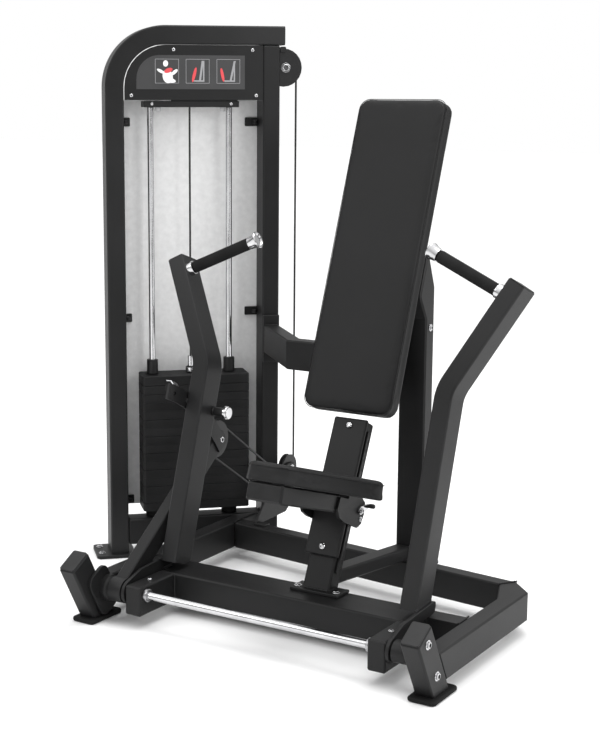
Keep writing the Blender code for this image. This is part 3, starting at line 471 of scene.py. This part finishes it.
def screw(name, point, normal, body, matrix, size):
    """Low domed screw head with a socket."""
    dome = [(size, 0.0), (size, size * 0.15), (size * 0.92, size * 0.34), (size * 0.72, size * 0.50),
            (size * 0.45, size * 0.57), (size * 0.40, size * 0.57), (size * 0.38, size * 0.25)]
    piece(name, turned(dome, 24), CHROME, body, matrix=matrix @ stood(point, normal))


def wire(name, points, body):
    """Length of cable that rides on one body."""
    side = Vector((0.37, 0.53, 0.19)).cross(Vector(points[1]) - Vector(points[0]))
    return piece(name, swept(points, circle(CABLE_RADIUS, 12), side), CABLE, body)


def weld(name, points, body):
    """Rippled bead along a joint between two painted pieces."""
    radius, sides, pitch = 0.0026, 8, 0.0022
    path = []
    for a, b in zip(points, points[1:]):
        a, b = Vector(a), Vector(b)
        count = max(3, int((b - a).length / pitch))
        path += [a.lerp(b, k / count) for k in range(count)]
    path.append(Vector(points[-1]))
    work = swept(path, circle(radius, sides), (0.31, 0.67, 0.45))
    for i, vert in enumerate(work.verts):
        ripple = 0.0005 * math.sin(i // sides * 1.9) + 0.0004 * noise.noise(vert.co * 300)
        centre = path[i // sides]
        vert.co = centre + (vert.co - centre) * (1 + ripple / radius)
    piece(name, work, PAINT, body, matrix=HERE)


# ---------------------------------------------------------------- padded goods
def rounded_slab(outline, high, rim):
    """Slab from Z = 0 up, with both rims rounded, from an outline in local X and Y."""
    steps = 4
    centre = Vector((sum(p[0] for p in outline) / len(outline), sum(p[1] for p in outline) / len(outline)))
    work = bmesh.new()
    levels = []
    for k in range(steps + 1):
        turn = math.pi / 2 * k / steps
        levels.append((rim * (1 - math.sin(turn)), rim * (1 - math.cos(turn))))
    levels = levels[::-1]
    levels += [(high - z, inset) for z, inset in levels[::-1]]
    rings = []
    for z, inset in levels:
        ring = []
        for a, b in outline:
            away = Vector((a, b)) - centre
            scale = 1 - inset / max(away.length, 0.02)
            spot = centre + away * scale
            ring.append(work.verts.new((spot.x, spot.y, z)))
        rings.append(ring)
    return skinned(work, rings)


def baked(source):
    """Applies the object's modifiers."""
    graph = bpy.context.evaluated_depsgraph_get()
    mesh = bpy.data.meshes.new_from_object(source.evaluated_get(graph))
    source.modifiers.clear()
    source.data = mesh


def cushion(name, work, matrix, cap, held, body, voxel, box):
    """Pad remeshed and inflated by a cloth simulation, no further than the cap.

    It stays flat below the lower held height, is free above the upper one, and is fitted to its box.
    """
    bmesh.ops.recalc_face_normals(work, faces=work.faces)
    mesh = bpy.data.meshes.new(name)
    work.to_mesh(mesh)
    work.free()
    made = bpy.data.objects.new(name, mesh)
    bpy.context.scene.collection.objects.link(made)
    remesh = made.modifiers.new("voxels", "REMESH")
    remesh.mode = "VOXEL"
    remesh.voxel_size = voxel
    baked(made)
    rest = [v.co.copy() for v in made.data.vertices]
    low, high = held
    cloth = made.modifiers.new("fill", "CLOTH")
    cloth.settings.use_pressure = True
    cloth.settings.uniform_pressure_force = 4.0
    cloth.settings.effector_weights.gravity = 0.0
    cloth.settings.quality = 4
    scene = bpy.context.scene
    for step in range(1, 21):
        scene.frame_set(step)
    baked(made)
    scene.frame_set(1)
    for vert, start in zip(made.data.vertices, rest):
        grown = vert.co - start
        if grown.length > cap:
            grown = grown.normalized() * cap
        share = min(1.0, max(0.0, (start.z - low) / (high - low)))
        vert.co = start + grown * (share * share * (3 - 2 * share))
    smooth = made.modifiers.new("finer", "SUBSURF")
    smooth.levels = 1
    smooth.render_levels = 1
    baked(made)
    for axis, (start, end) in enumerate(box):
        near = min(v.co[axis] for v in made.data.vertices)
        far = max(v.co[axis] for v in made.data.vertices)
        for vert in made.data.vertices:
            vert.co[axis] = start + (vert.co[axis] - near) * (end - start) / (far - near)
    made.data.transform(matrix)
    made.data.materials.clear()
    made.data.materials.append(VINYL)
    made.data.shade_smooth()
    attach(made, body)
    return made


def corner_outline(half, low, high, radius):
    """Rounded rectangle, half wide to each side and from low to high along Y."""
    steps = 6
    points = []
    for corner, (a, b) in enumerate(((1, 1), (-1, 1), (-1, -1), (1, -1))):
        for k in range(steps + 1):
            turn = math.pi / 2 * (corner + k / steps)
            y = high - radius if b > 0 else low + radius
            points.append((a * (half - radius) + radius * math.cos(turn), y + radius * math.sin(turn)))
    return points


def densified(outline, spacing):
    """Closed outline with points added along its sides."""
    points = []
    for i, (a, b) in enumerate(outline):
        nxt = Vector(outline[(i + 1) % len(outline)])
        here = Vector((a, b))
        count = max(1, int((nxt - here).length / spacing))
        points += [tuple(here.lerp(nxt, k / count)) for k in range(count)]
    return points


def welt(name, outline, height, radius, matrix, body):
    """Sewn seam that runs round a pad as a thin raised line."""
    path = [Vector((a, b, height)) for a, b in densified(outline, 0.012)]
    path += path[:2]
    piece(name, swept(path, circle(radius, 8), UP), VINYL, body, matrix=matrix)


def back_cushion():
    """Local Z stands out of the front face; local Y runs up the pad."""
    turn = PAD @ Matrix.Rotation(math.radians(90), 4, "X") @ Matrix.Translation((0, 0, -PAD_THICK))
    outline = densified(corner_outline(0.1318, 0.0012, 0.8708, 0.030), 0.02)
    work = rounded_slab(outline, 0.0500, 0.0060)
    box = ((-0.133, 0.133), (0.0, 0.872), (0.0003, 0.0525))
    pad = cushion("back_cushion", work, turn, 0.0030, (0.004, 0.030), "frame", 0.005, box)
    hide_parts("back_pad")
    seam = corner_outline(0.1326, 0.0004, 0.8716, 0.0300)
    welt("back_seam", seam, 0.0420, 0.0010, turn, "frame")
    board = corner_outline(0.120, 0.012, 0.860, 0.024)
    work = plate(board, 0.0012)
    piece("back_board", work, RUBBER, "frame", 0.0003,
          matrix=turn @ Matrix.Translation((0, 0, -0.0008)))


def seat_cushion():
    """Local Y runs back from the seat's front edge, which is the narrow end."""
    half = [(0.034, 0.0012), (0.054, 0.0072), (0.069, 0.0230), (0.111, 0.1175), (0.147, 0.215), (0.167, 0.285),
            (0.169, 0.3045), (0.157, 0.3210), (0.1345, 0.3268)]
    outline = half + [(-x, y) for x, y in reversed(half)]
    work = rounded_slab(densified(outline, 0.014), 0.0480, 0.0060)
    matrix = SEAT @ Matrix.Translation((0, 0, -SEAT_THICK))
    box = ((-0.170, 0.170), (0.0, 0.328), (0.0002, 0.0505))
    pad = cushion("seat_cushion", work, matrix, 0.0035, (0.004, 0.026), "seat", 0.004, box)
    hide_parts("seat_pad")
    scaled = [(x * 1.004, (y - 0.164) * 1.005 + 0.164) for x, y in outline]
    welt("seat_seam", scaled, 0.0405, 0.0010, matrix, "seat")


# ---------------------------------------------------------------- tower
def tower_details():
    centre = TOWER_DEPTH / 2
    left = 0.005 + COLUMN_WIDTH / 2
    top = TOWER_TOP - COLUMN_WIDTH / 2
    path = filleted([(left, centre, 0.0095), (left, centre, top), (TOP_TUBE_END, centre, top)], ARCH_RADIUS, 28)
    tube = swept(path, ring_section(TOWER_DEPTH, COLUMN_WIDTH, 0.006), (0, 1, 0))
    arch = piece("tower_arch_tube", tube, PAINT, "frame", matrix=TOWER)
    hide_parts("tower_arch")
    cap = shifted(plate(ring_section(TOWER_DEPTH - 0.010, COLUMN_WIDTH - 0.010, 0.004), 0.0016),
                  Matrix.Translation((TOP_TUBE_END, centre, top)) @ Matrix.Rotation(math.radians(90), 4, "Y")
                  @ Matrix.Rotation(math.radians(90), 4, "Z"))
    piece("tower_tube_plug", cap, NYLON, "frame", 0.0006, matrix=TOWER)
    sole = ring_section(0.120, 0.130, 0.015, 6)
    work = shifted(plate(sole, 0.0095), Matrix.Translation((0.020, centre, 0.0003)))
    piece("tower_sole", work, PAINT, "frame", 0.0012, matrix=TOWER)
    bolt("tower_sole_bolt_1", (-0.022, 0.012, 0.0098), UP, "frame", TOWER, 0.008)
    bolt("tower_sole_bolt_2", (-0.022, 0.080, 0.0098), UP, "frame", TOWER, 0.008)
    for k, (s, z) in enumerate(((0.2075, 1.524), (0.4435, 1.524), (0.082, 1.392), (0.455, 1.392))):
        screw("placard_screw_%d" % (k + 1), (s, 0.0018, z), OUT, "frame", TOWER, 0.0055)
    for k, s in enumerate(ROD_S):
        screw("bracket_screw_%d" % (k + 1), (s, 0.0063, 1.3675), OUT, "frame", TOWER, 0.0045)
        work = turned([(0.009, 0), (0.009, 0.010), (0.0075, 0.012)], 6)
        piece("bracket_nut_%d" % (k + 1), work, ZINC, "frame", 0.0004,
              matrix=TOWER @ stood((s + (0.022 if k == 0 else -0.022), 0.030, 1.3578), (0, 0, -1)))
    bolt("side_pulley_bolt", (0.5460, 0.0098, 1.474), OUT, "frame", TOWER, 0.011)
    tab = shifted(plate(ring_section(0.018, 0.016, 0.004), 0.0058), stood((0.5370, 0.0096, 1.527), OUT))
    piece("side_pulley_tab", tab, PAINT, "frame", 0.0008, matrix=TOWER)
    clips = [(0.0735, z, 1) for z in (1.3136, 0.725, 0.157)] + [(0.4665, z, -1) for z in (1.3136, 0.737)]
    for k, (s, z, sign) in enumerate(clips):
        wide = 0.022 if sign > 0 else 0.044
        middle = s + 0.004 if sign > 0 else s - 0.006
        base = shifted(plate(ring_section(wide, 0.026, 0.003), 0.004),
                       Matrix.Translation((middle, 0.0885, z)) @ Matrix.Rotation(math.radians(90), 4, "X"))
        stalk = shifted(turned([(0.0045, 0), (0.0045, 0.016), (0.0035, 0.018)], 16), stood((s, 0.0850, z), OUT))
        wheel = turned([(0.004, 0), (0.0085, 0.001), (0.0085, 0.011), (0.004, 0.012)], 20)
        wheel = shifted(wheel, stood((s - sign * 0.001, 0.0735, z - 0.006), UP))
        piece("shield_clip_%d" % (k + 1), merged([base, stalk, wheel]), NYLON, "frame", 0.0005,
              matrix=TOWER)
    instruction_panel()


def instruction_panel():
    """Plain instruction panel: three framed pictures with no lettering."""
    corner = [(0.097 + 0.068 * (1 - math.cos(t)), 1.438 + 0.070 * math.sin(t))
              for t in [math.pi / 2 * k / 8 for k in range(9)]]
    outline = [(0.420, 1.410), (0.420, 1.508)]
    outline += [(s, min(z, 1.508)) for s, z in corner[::-1]] + [(0.097, 1.410)]
    face = TOWER @ Matrix(((1, 0, 0, 0), (0, 0, -1, 0.00195), (0, 1, 0, 0), (0, 0, 0, 1)))
    piece("sign_panel", plate(outline, 0.0004), LABEL, "frame", matrix=face)
    raised = face @ Matrix.Translation((0, 0, 0.0004))
    centres = (0.1875, 0.2785, 0.3705)
    for k, s in enumerate(centres):
        edge = []
        for a, b, w, h in ((0, 0.0345, 0.070, 0.0012), (0, -0.0345, 0.070, 0.0012), (0.0345, 0, 0.0012, 0.070),
                           (-0.0345, 0, 0.0012, 0.070)):
            middle = SIGN_MIDDLE + b
            bar = [(s + a - w / 2, middle - h / 2), (s + a + w / 2, middle - h / 2),
                   (s + a + w / 2, middle + h / 2), (s + a - w / 2, middle + h / 2)]
            edge.append(plate(bar, 0.0002))
        piece("sign_frame_%d" % (k + 1), merged(edge), GREY, "frame", matrix=raised)

    def blob(s, z, w, h, tilt=0.0):
        points = []
        for across, along in circle(1.0, 20):
            a, b = w / 2 * across, h / 2 * along
            points.append((s + a * math.cos(tilt) - b * math.sin(tilt),
                           z + a * math.sin(tilt) + b * math.cos(tilt)))
        return points

    s = centres[0]
    body = [blob(s - 0.004, 1.484, 0.015, 0.018), blob(s + 0.002, 1.447, 0.030, 0.040, 0.2),
            blob(s - 0.019, 1.462, 0.024, 0.009, -0.5), blob(s + 0.022, 1.459, 0.024, 0.010, 0.7),
            blob(s + 0.008, 1.436, 0.036, 0.014, -0.2)]
    piece("sign_figure_white", merged([plate(p, 0.0003 + 0.00003 * i) for i, p in enumerate(body)]), WHITE,
          "frame", matrix=raised)
    chest = [blob(s + 0.004, 1.464, 0.026, 0.013, 0.35)]
    chest += [blob(centres[1] - 0.010, 1.452, 0.009, 0.044, -0.25),
              blob(centres[2] - 0.018, 1.452, 0.009, 0.040, 0.2)]
    piece("sign_figure_red", merged([plate(p, 0.00055 + 0.00003 * i) for i, p in enumerate(chest)]), RED,
          "frame", matrix=raised)
    rigs = []
    for i, s in enumerate(centres[1:]):
        lean = 0.004 * i
        rigs.append(plate([(s - 0.012, 1.432), (s + 0.020, 1.432), (s + 0.020, 1.436),
                           (s - 0.012, 1.436)], 0.0002))
        rigs.append(plate([(s + 0.004, 1.436), (s + 0.010, 1.436), (s + 0.018 + lean, 1.492),
                           (s + 0.012 + lean, 1.492)], 0.00024))
        rigs.append(plate([(s + 0.016, 1.436), (s + 0.020, 1.436), (s + 0.020, 1.492),
                           (s + 0.016, 1.492)], 0.00028))
    piece("sign_machine", merged(rigs), GREY, "frame", matrix=raised)


def stack_details():
    """Cable fitting and bushes on the head plate, and a ring for the pin hole of every unselected plate."""
    for name, radius, low, high in (("stack_fitting", 0.0165, 0.5605, 0.5757),
                                    ("stack_fitting_neck", 0.0094, 0.5762, 0.6106)):
        profile = [(radius * 0.9, low), (radius, low + 0.001), (radius, high - 0.001), (radius * 0.85, high)]
        piece(name, turned(profile, 28), CHROME, "lift",
              matrix=TOWER @ Matrix.Translation((CABLE_S, ROD_DEPTH, 0)))
    for k, s in enumerate(ROD_S):
        profile = [(0.0172, 0.5585), (0.0185, 0.560), (0.0185, 0.566), (0.0170, 0.568), (0.0170, 0.6005),
                   (0.0155, 0.6025), (0.0105, 0.6025), (0.0105, 0.600)]
        piece("stack_bush_%d" % (k + 1), turned(profile, 28), NYLON, "lift",
              matrix=TOWER @ Matrix.Translation((s, ROD_DEPTH, 0)))
    stack_top = STACK_LOW + PLATE_COUNT * PLATE_PITCH
    profile = [(0.0090, 0.0), (0.0090, 0.0008), (0.0080, 0.0012), (0.0058, 0.0012), (0.0056, 0.0002)]
    rings = {"lift": [], "frame": []}
    for k in range(PLATE_COUNT):
        if k == LIFTED_PLATES - 1:
            continue
        z = stack_top - (k + 0.5) * PLATE_PITCH
        ring = shifted(turned(profile, 20), stood((CABLE_S, -0.0081, z), OUT))
        rings["lift" if k < LIFTED_PLATES else "frame"].append(ring)
    for body, works in rings.items():
        piece("pin_bushes_" + body, merged(works), ZINC, body, matrix=TOWER)


# ---------------------------------------------------------------- arms, lever, frame
def arm_details():
    for side, sign_x in (("left", -1), ("right", 1)):
        flip = HERE @ Matrix.Scale(sign_x, 4, (1, 0, 0))
        path = filleted([ARM_FOOT, ARM_BEND, ARM_TOP], 0.110, 14)
        tube = swept(path, ring_section(0.050, 0.080, 0.006), (1, 0, 0))
        bmesh.ops.bisect_plane(tube, geom=tube.verts[:] + tube.edges[:] + tube.faces[:],
                               plane_co=(0, 0, 0.1303), plane_no=(0, 0, -1), clear_outer=True)
        bmesh.ops.holes_fill(tube, edges=[e for e in tube.edges if e.is_boundary])
        arm = piece("press_arm_" + side, tube, PAINT, "arms", matrix=flip)
        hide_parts("arm_" + side)
        top = Vector(ARM_TOP)
        run = (top - Vector(ARM_BEND)).normalized()
        plug = swept([top + run * 0.0002, top + run * 0.003], ring_section(0.046, 0.076, 0.005), (1, 0, 0))
        piece("arm_cap_" + side, plug, NYLON, "arms", 0.0009, matrix=flip)
        bend = arc((0.0, SHAFT_HEIGHT), 0.032, math.radians(100), math.radians(292), 24)
        outline = bend + [(0.100, 0.078), (0.150, 0.1185), (0.208, 0.1185), (0.217, 0.1225), (0.222, 0.130),
                          (0.224, 0.142), (0.221, 0.148), (0.214, 0.150), (0.050, 0.140)]
        work = shifted(plate(outline, 0.0096),
                       Matrix(((0, 0, 1, 0.3897), (1, 0, 0, 0), (0, 1, 0, 0), (0, 0, 0, 1))))
        piece("arm_plate_" + side, work, PAINT, "arms", 0.0014, matrix=flip)
        along = (GRIP_END - GRIP_BASE).normalized()
        length = (GRIP_END - GRIP_BASE).length
        collar = [(0.0198, -0.010), (0.0205, -0.008), (0.0205, 0.008), (0.0190, 0.0115), (0.0140, 0.0120)]
        piece("grip_collar_" + side, turned(collar, 32), CHROME, "arms",
              matrix=flip @ stood(GRIP_BASE, along))
        flare = [(0.0140, length - 0.0215), (0.0176, length - 0.0205), (0.0180, length - 0.0150),
                 (0.0200, length - 0.0030), (0.0232, length + 0.0030), (0.0234, length + 0.0065),
                 (0.0220, length + 0.0085), (0.0180, length + 0.0088), (0.0150, length + 0.0050),
                 (0.0060, length + 0.0046)]
        piece("grip_end_" + side, turned(flare, 36), CHROME, "arms",
              matrix=flip @ stood(GRIP_BASE, along))
        sleeve = [(0.0142, 0.0128), (0.0160, 0.0135), (0.0168, 0.016)]
        for k in range(30):
            z = 0.020 + k * (length - 0.0665) / 29
            sleeve += [(0.0168, z), (0.0163, z + 0.0018), (0.0168, z + 0.0036)]
        sleeve += [(0.0168, length - 0.0270), (0.0160, length - 0.0240), (0.0142, length - 0.0225)]
        grip = piece("hand_grip_" + side, turned(sleeve, 32), FOAM, "arms",
                     matrix=flip @ stood(GRIP_BASE, along))
        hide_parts("grip_" + side)
        weld("arm_weld_" + side, [(sign_x * 0.3897, 0.128, 0.1465), (sign_x * 0.3897, 0.214, 0.1525)], "arms")
    y, z = 0.325, 0.530
    barrel = turned([(0.0135, 0), (0.0135, 0.004), (0.0120, 0.005), (0.0120, 0.030), (0.0108, 0.033),
                     (0.006, 0.033)], 28)
    piece("pin_barrel", barrel, NYLON, "arms", matrix=HERE @ stood((-0.3425, y, z), RIGHT))


def lever_details():
    angle = math.radians(66)
    y = SECTOR_RADIUS * math.cos(angle)
    z = SHAFT_HEIGHT + SECTOR_RADIUS * math.sin(angle)
    hook = [(0.0, 0.0), (0.0, 0.034), (-0.010, 0.043), (-0.026, 0.043), (-0.026, 0.040), (-0.011, 0.040),
            (-0.003, 0.0325), (-0.003, 0.0)]
    turn = HERE @ Matrix.Translation((-0.4030, y, z)) @ Matrix.Rotation(math.radians(-24), 4, "X")
    work = shifted(plate(hook, 0.030),
                   Matrix(((1, 0, 0, 0), (0, 0, 1, -0.015), (0, 1, 0, -0.010), (0, 0, 0, 1))))
    piece("stop_hook", work, ZINC, "lever", 0.0008, matrix=turn)
    roller = turned([(0.0060, 0), (0.0105, 0.001), (0.0105, 0.021), (0.0060, 0.022)], 24)
    piece("stop_roller", roller, RUBBER, "lever",
          matrix=turn @ stood((-0.0180, -0.011, 0.014), (0, 1, 0)))
    bolt("lever_pulley_bolt", (-0.4018, *LEVER_PULLEY[0]), RIGHT, "lever", HERE, 0.0095)
    bolt("lever_pulley_nut", (-0.4402, *LEVER_PULLEY[0]), (-1, 0, 0), "lever", HERE, 0.0095)
    bolt("base_pulley_bolt", (-0.4038, *BASE_PULLEY[0]), RIGHT, "frame", HERE, 0.0085)


def frame_details():
    along = Vector((0, -math.sin(LEG_LEAN), math.cos(LEG_LEAN)))
    for side, sign_x in (("left", -1), ("right", 1)):
        centre = Vector((sign_x * 0.5282, -0.048, SHAFT_HEIGHT))
        for k, offset in enumerate((0.0760, -0.0300)):
            bolt("leg_bolt_%s_%d" % (side, k + 1), centre + along * offset, (sign_x, 0, 0), "frame",
                 HERE, 0.0092)
        top = Vector((sign_x * 0.503, -0.048, SHAFT_HEIGHT)) + along * 0.1032
        work = swept([top, top + along * 0.0030], ring_section(0.0465, 0.0715, 0.006), (1, 0, 0))
        piece("leg_cap_" + side, work, NYLON, "frame", 0.0010, matrix=HERE)
        inner = sign_x * 0.3385
        ring = turned([(0.0118, 0), (0.0175, 0.0005), (0.0175, 0.0085), (0.0160, 0.0100), (0.0118, 0.0100)], 28)
        piece("shaft_collar_" + side, ring, ZINC, "arms",
              matrix=HERE @ stood((inner, 0, SHAFT_HEIGHT), (-sign_x, 0, 0)))
        bolt("box_bolt_" + side, (sign_x * 0.364, 0.050, 0.1152), UP, "frame", HERE, 0.006)
    for k, height in enumerate((0.121, 0.451)):
        screw("cover_screw_%d" % (k + 1), (0, -0.0125, height), OUT, "frame", POST, 0.0095)
    for k, x in enumerate((-0.053, 0.062)):
        bolt("post_bolt_%d" % (k + 1), (SEAT_X + x, 0.205, SHOE_TOP), UP, "frame", HERE, 0.0080)
    for k, x in enumerate((-0.062, 0.062)):
        skew = Vector((0.145 + x, 0.5885 - math.tan(math.radians(6.7)) * x, SHOE_TOP))
        bolt("upright_bolt_%d" % (k + 1), skew, UP, "frame", HERE, 0.0080)
    bolt("upright_side_bolt", (0.1853, 0.594, 0.775), RIGHT, "frame", HERE, 0.0075)
    for k, (x, z) in enumerate(((-0.012, 1.02), (0.112, 1.02), (-0.012, 0.845), (0.150, 0.845))):
        y = PAD_FRONT + PAD_THICK / math.cos(PAD_LEAN) + (z - PAD_LOW) * math.tan(PAD_LEAN) + 0.0088
        bolt("pad_bolt_%d" % (k + 1), (x, y, z), (0, math.cos(PAD_LEAN), -math.sin(PAD_LEAN)), "frame",
             HERE, 0.0065)
    plug = swept([(0, -0.0026, 0), (0, 0.0035, 0)], ring_section(0.096, 0.040, 0.006), (1, 0, 0))
    piece("seat_tube_plug", plug, NYLON, "seat", 0.0012,
          matrix=SEAT @ Matrix.Translation((0, 0.0035, -0.0743)))
    bolt("latch_bolt", (0.0657, 0.036, 0.236), RIGHT, "seat", POST, 0.0065)
    bolt("carriage_bolt_1", (0.0588, 0.052, 0.215), RIGHT, "seat", POST, 0.0055)
    knob = [(0.0030, -0.001), (0.0058, 0.0), (0.0064, 0.003), (0.0064, 0.013), (0.0045, 0.016)]
    piece("latch_knob", turned(knob, 24), NYLON, "latch",
          matrix=POST @ stood((0.0646, 0.0755, 0.2570), RIGHT))
    for name, start, end in (("beam_weld_left", (-0.3385, 0.1278, 0.040), (-0.3385, 0.1278, 0.110)),
                             ("beam_weld_right", (0.3385, 0.1278, 0.040), (0.3385, 0.1278, 0.110)),
                             ("post_weld", (0.022, 0.2030, 0.1240), (0.098, 0.2030, 0.1240)),
                             ("upright_weld", (0.103, 0.5690, 0.1240), (0.187, 0.5690, 0.1240)),
                             ("stub_weld_right", (0.4775, 0.1880, 0.1155), (0.4775, 0.2480, 0.1155)),
                             ("stub_weld_left", (-0.4775, 0.1880, 0.1155), (-0.4775, 0.2480, 0.1155)),
                             ("rear_weld_left", (-0.4775, 0.6345, 0.1155), (-0.4775, 0.6835, 0.1155)),
                             ("rear_weld_right", (0.4362, 0.5305, 0.1155), (0.4680, 0.5730, 0.1155))):
        weld(name, [start, end], "frame")


# ---------------------------------------------------------------- cables
def beside(y, z):
    """Point in the plane of the lower pulleys."""
    return HERE @ Vector((CABLE_X, y, z))


def cable_runs():
    """Cable from the stack over both upper pulleys, round the base and lever pulleys, to its anchor."""
    low, high = 0.6108, 1.4712
    points = [TOWER @ Vector((CABLE_S, ROD_DEPTH, low + (high - low) * k / 40)) for k in range(41)]
    rise = wire("stack_cable", points, "frame")
    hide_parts("cable_stack")
    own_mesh(rise)
    run = arc(*TOP_PULLEY, math.pi, math.pi / 2, 20) + arc(*SIDE_PULLEY, math.pi / 2, 0, 20)
    path = [TOWER @ Vector((s, ROD_DEPTH, z)) for s, z in run]
    base, r_base = BASE_PULLEY
    lever, r_lever = LEVER_PULLEY
    away = math.atan2(lever[1] - base[1], lever[0] - base[0])
    apart = math.hypot(lever[0] - base[0], lever[1] - base[1])
    leave = away + math.acos((r_base + r_lever) / apart) - 2 * math.pi
    wrap_base = [beside(y, z) for y, z in arc(base, r_base, 0, leave, 20)]
    wire("frame_cable", path + wrap_base, "frame")
    meet = leave + math.pi
    to_anchor = math.atan2(CABLE_ANCHOR[1] - lever[1], CABLE_ANCHOR[0] - lever[0])
    spread = math.acos(r_lever / math.hypot(CABLE_ANCHOR[0] - lever[0], CABLE_ANCHOR[1] - lever[1]))
    depart = to_anchor - spread + 2 * math.pi
    wrap = [beside(y, z) for y, z in arc(lever, r_lever, meet, depart, 28)]
    over = wire("lever_cable_wrap", wrap, "lever")
    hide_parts("cable_lever")
    for name, near, far in (("lever_cable_upper", wrap[0], wrap_base[-1]),
                            ("lever_cable_lower", wrap[-1], beside(*CABLE_ANCHOR))):
        work = swept([near.lerp(far, k / 60) for k in range(61)], circle(CABLE_RADIUS, 12), RIGHT)
        mesh = bpy.data.meshes.new(name)
        bmesh.ops.recalc_face_normals(work, faces=work.faces)
        work.to_mesh(mesh)
        work.free()
        mesh.materials.append(CABLE)
        mesh.shade_smooth()
        strand = bpy.data.objects.new(name, mesh)
        bpy.context.scene.collection.objects.link(strand)
        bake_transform(strand)


add_camera()
add_studio()
# These nodes have a piece of their own; the others show as round-edged copies.
OWN = {"tower_arch", "arm_left", "arm_right", "grip_left", "grip_right", "back_pad", "seat_pad", "cable_stack",
       "cable_lever", "cable_frame"}
for node in sorted(NODES):
    if node not in OWN:
        refined(node, NYLON if node == "rack_strip" else BY_SLOT[SLOT_OF[node]])
tower_details()
stack_details()
arm_details()
lever_details()
frame_details()
cable_runs()
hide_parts("cable_frame")
back_cushion()
seat_cushion()
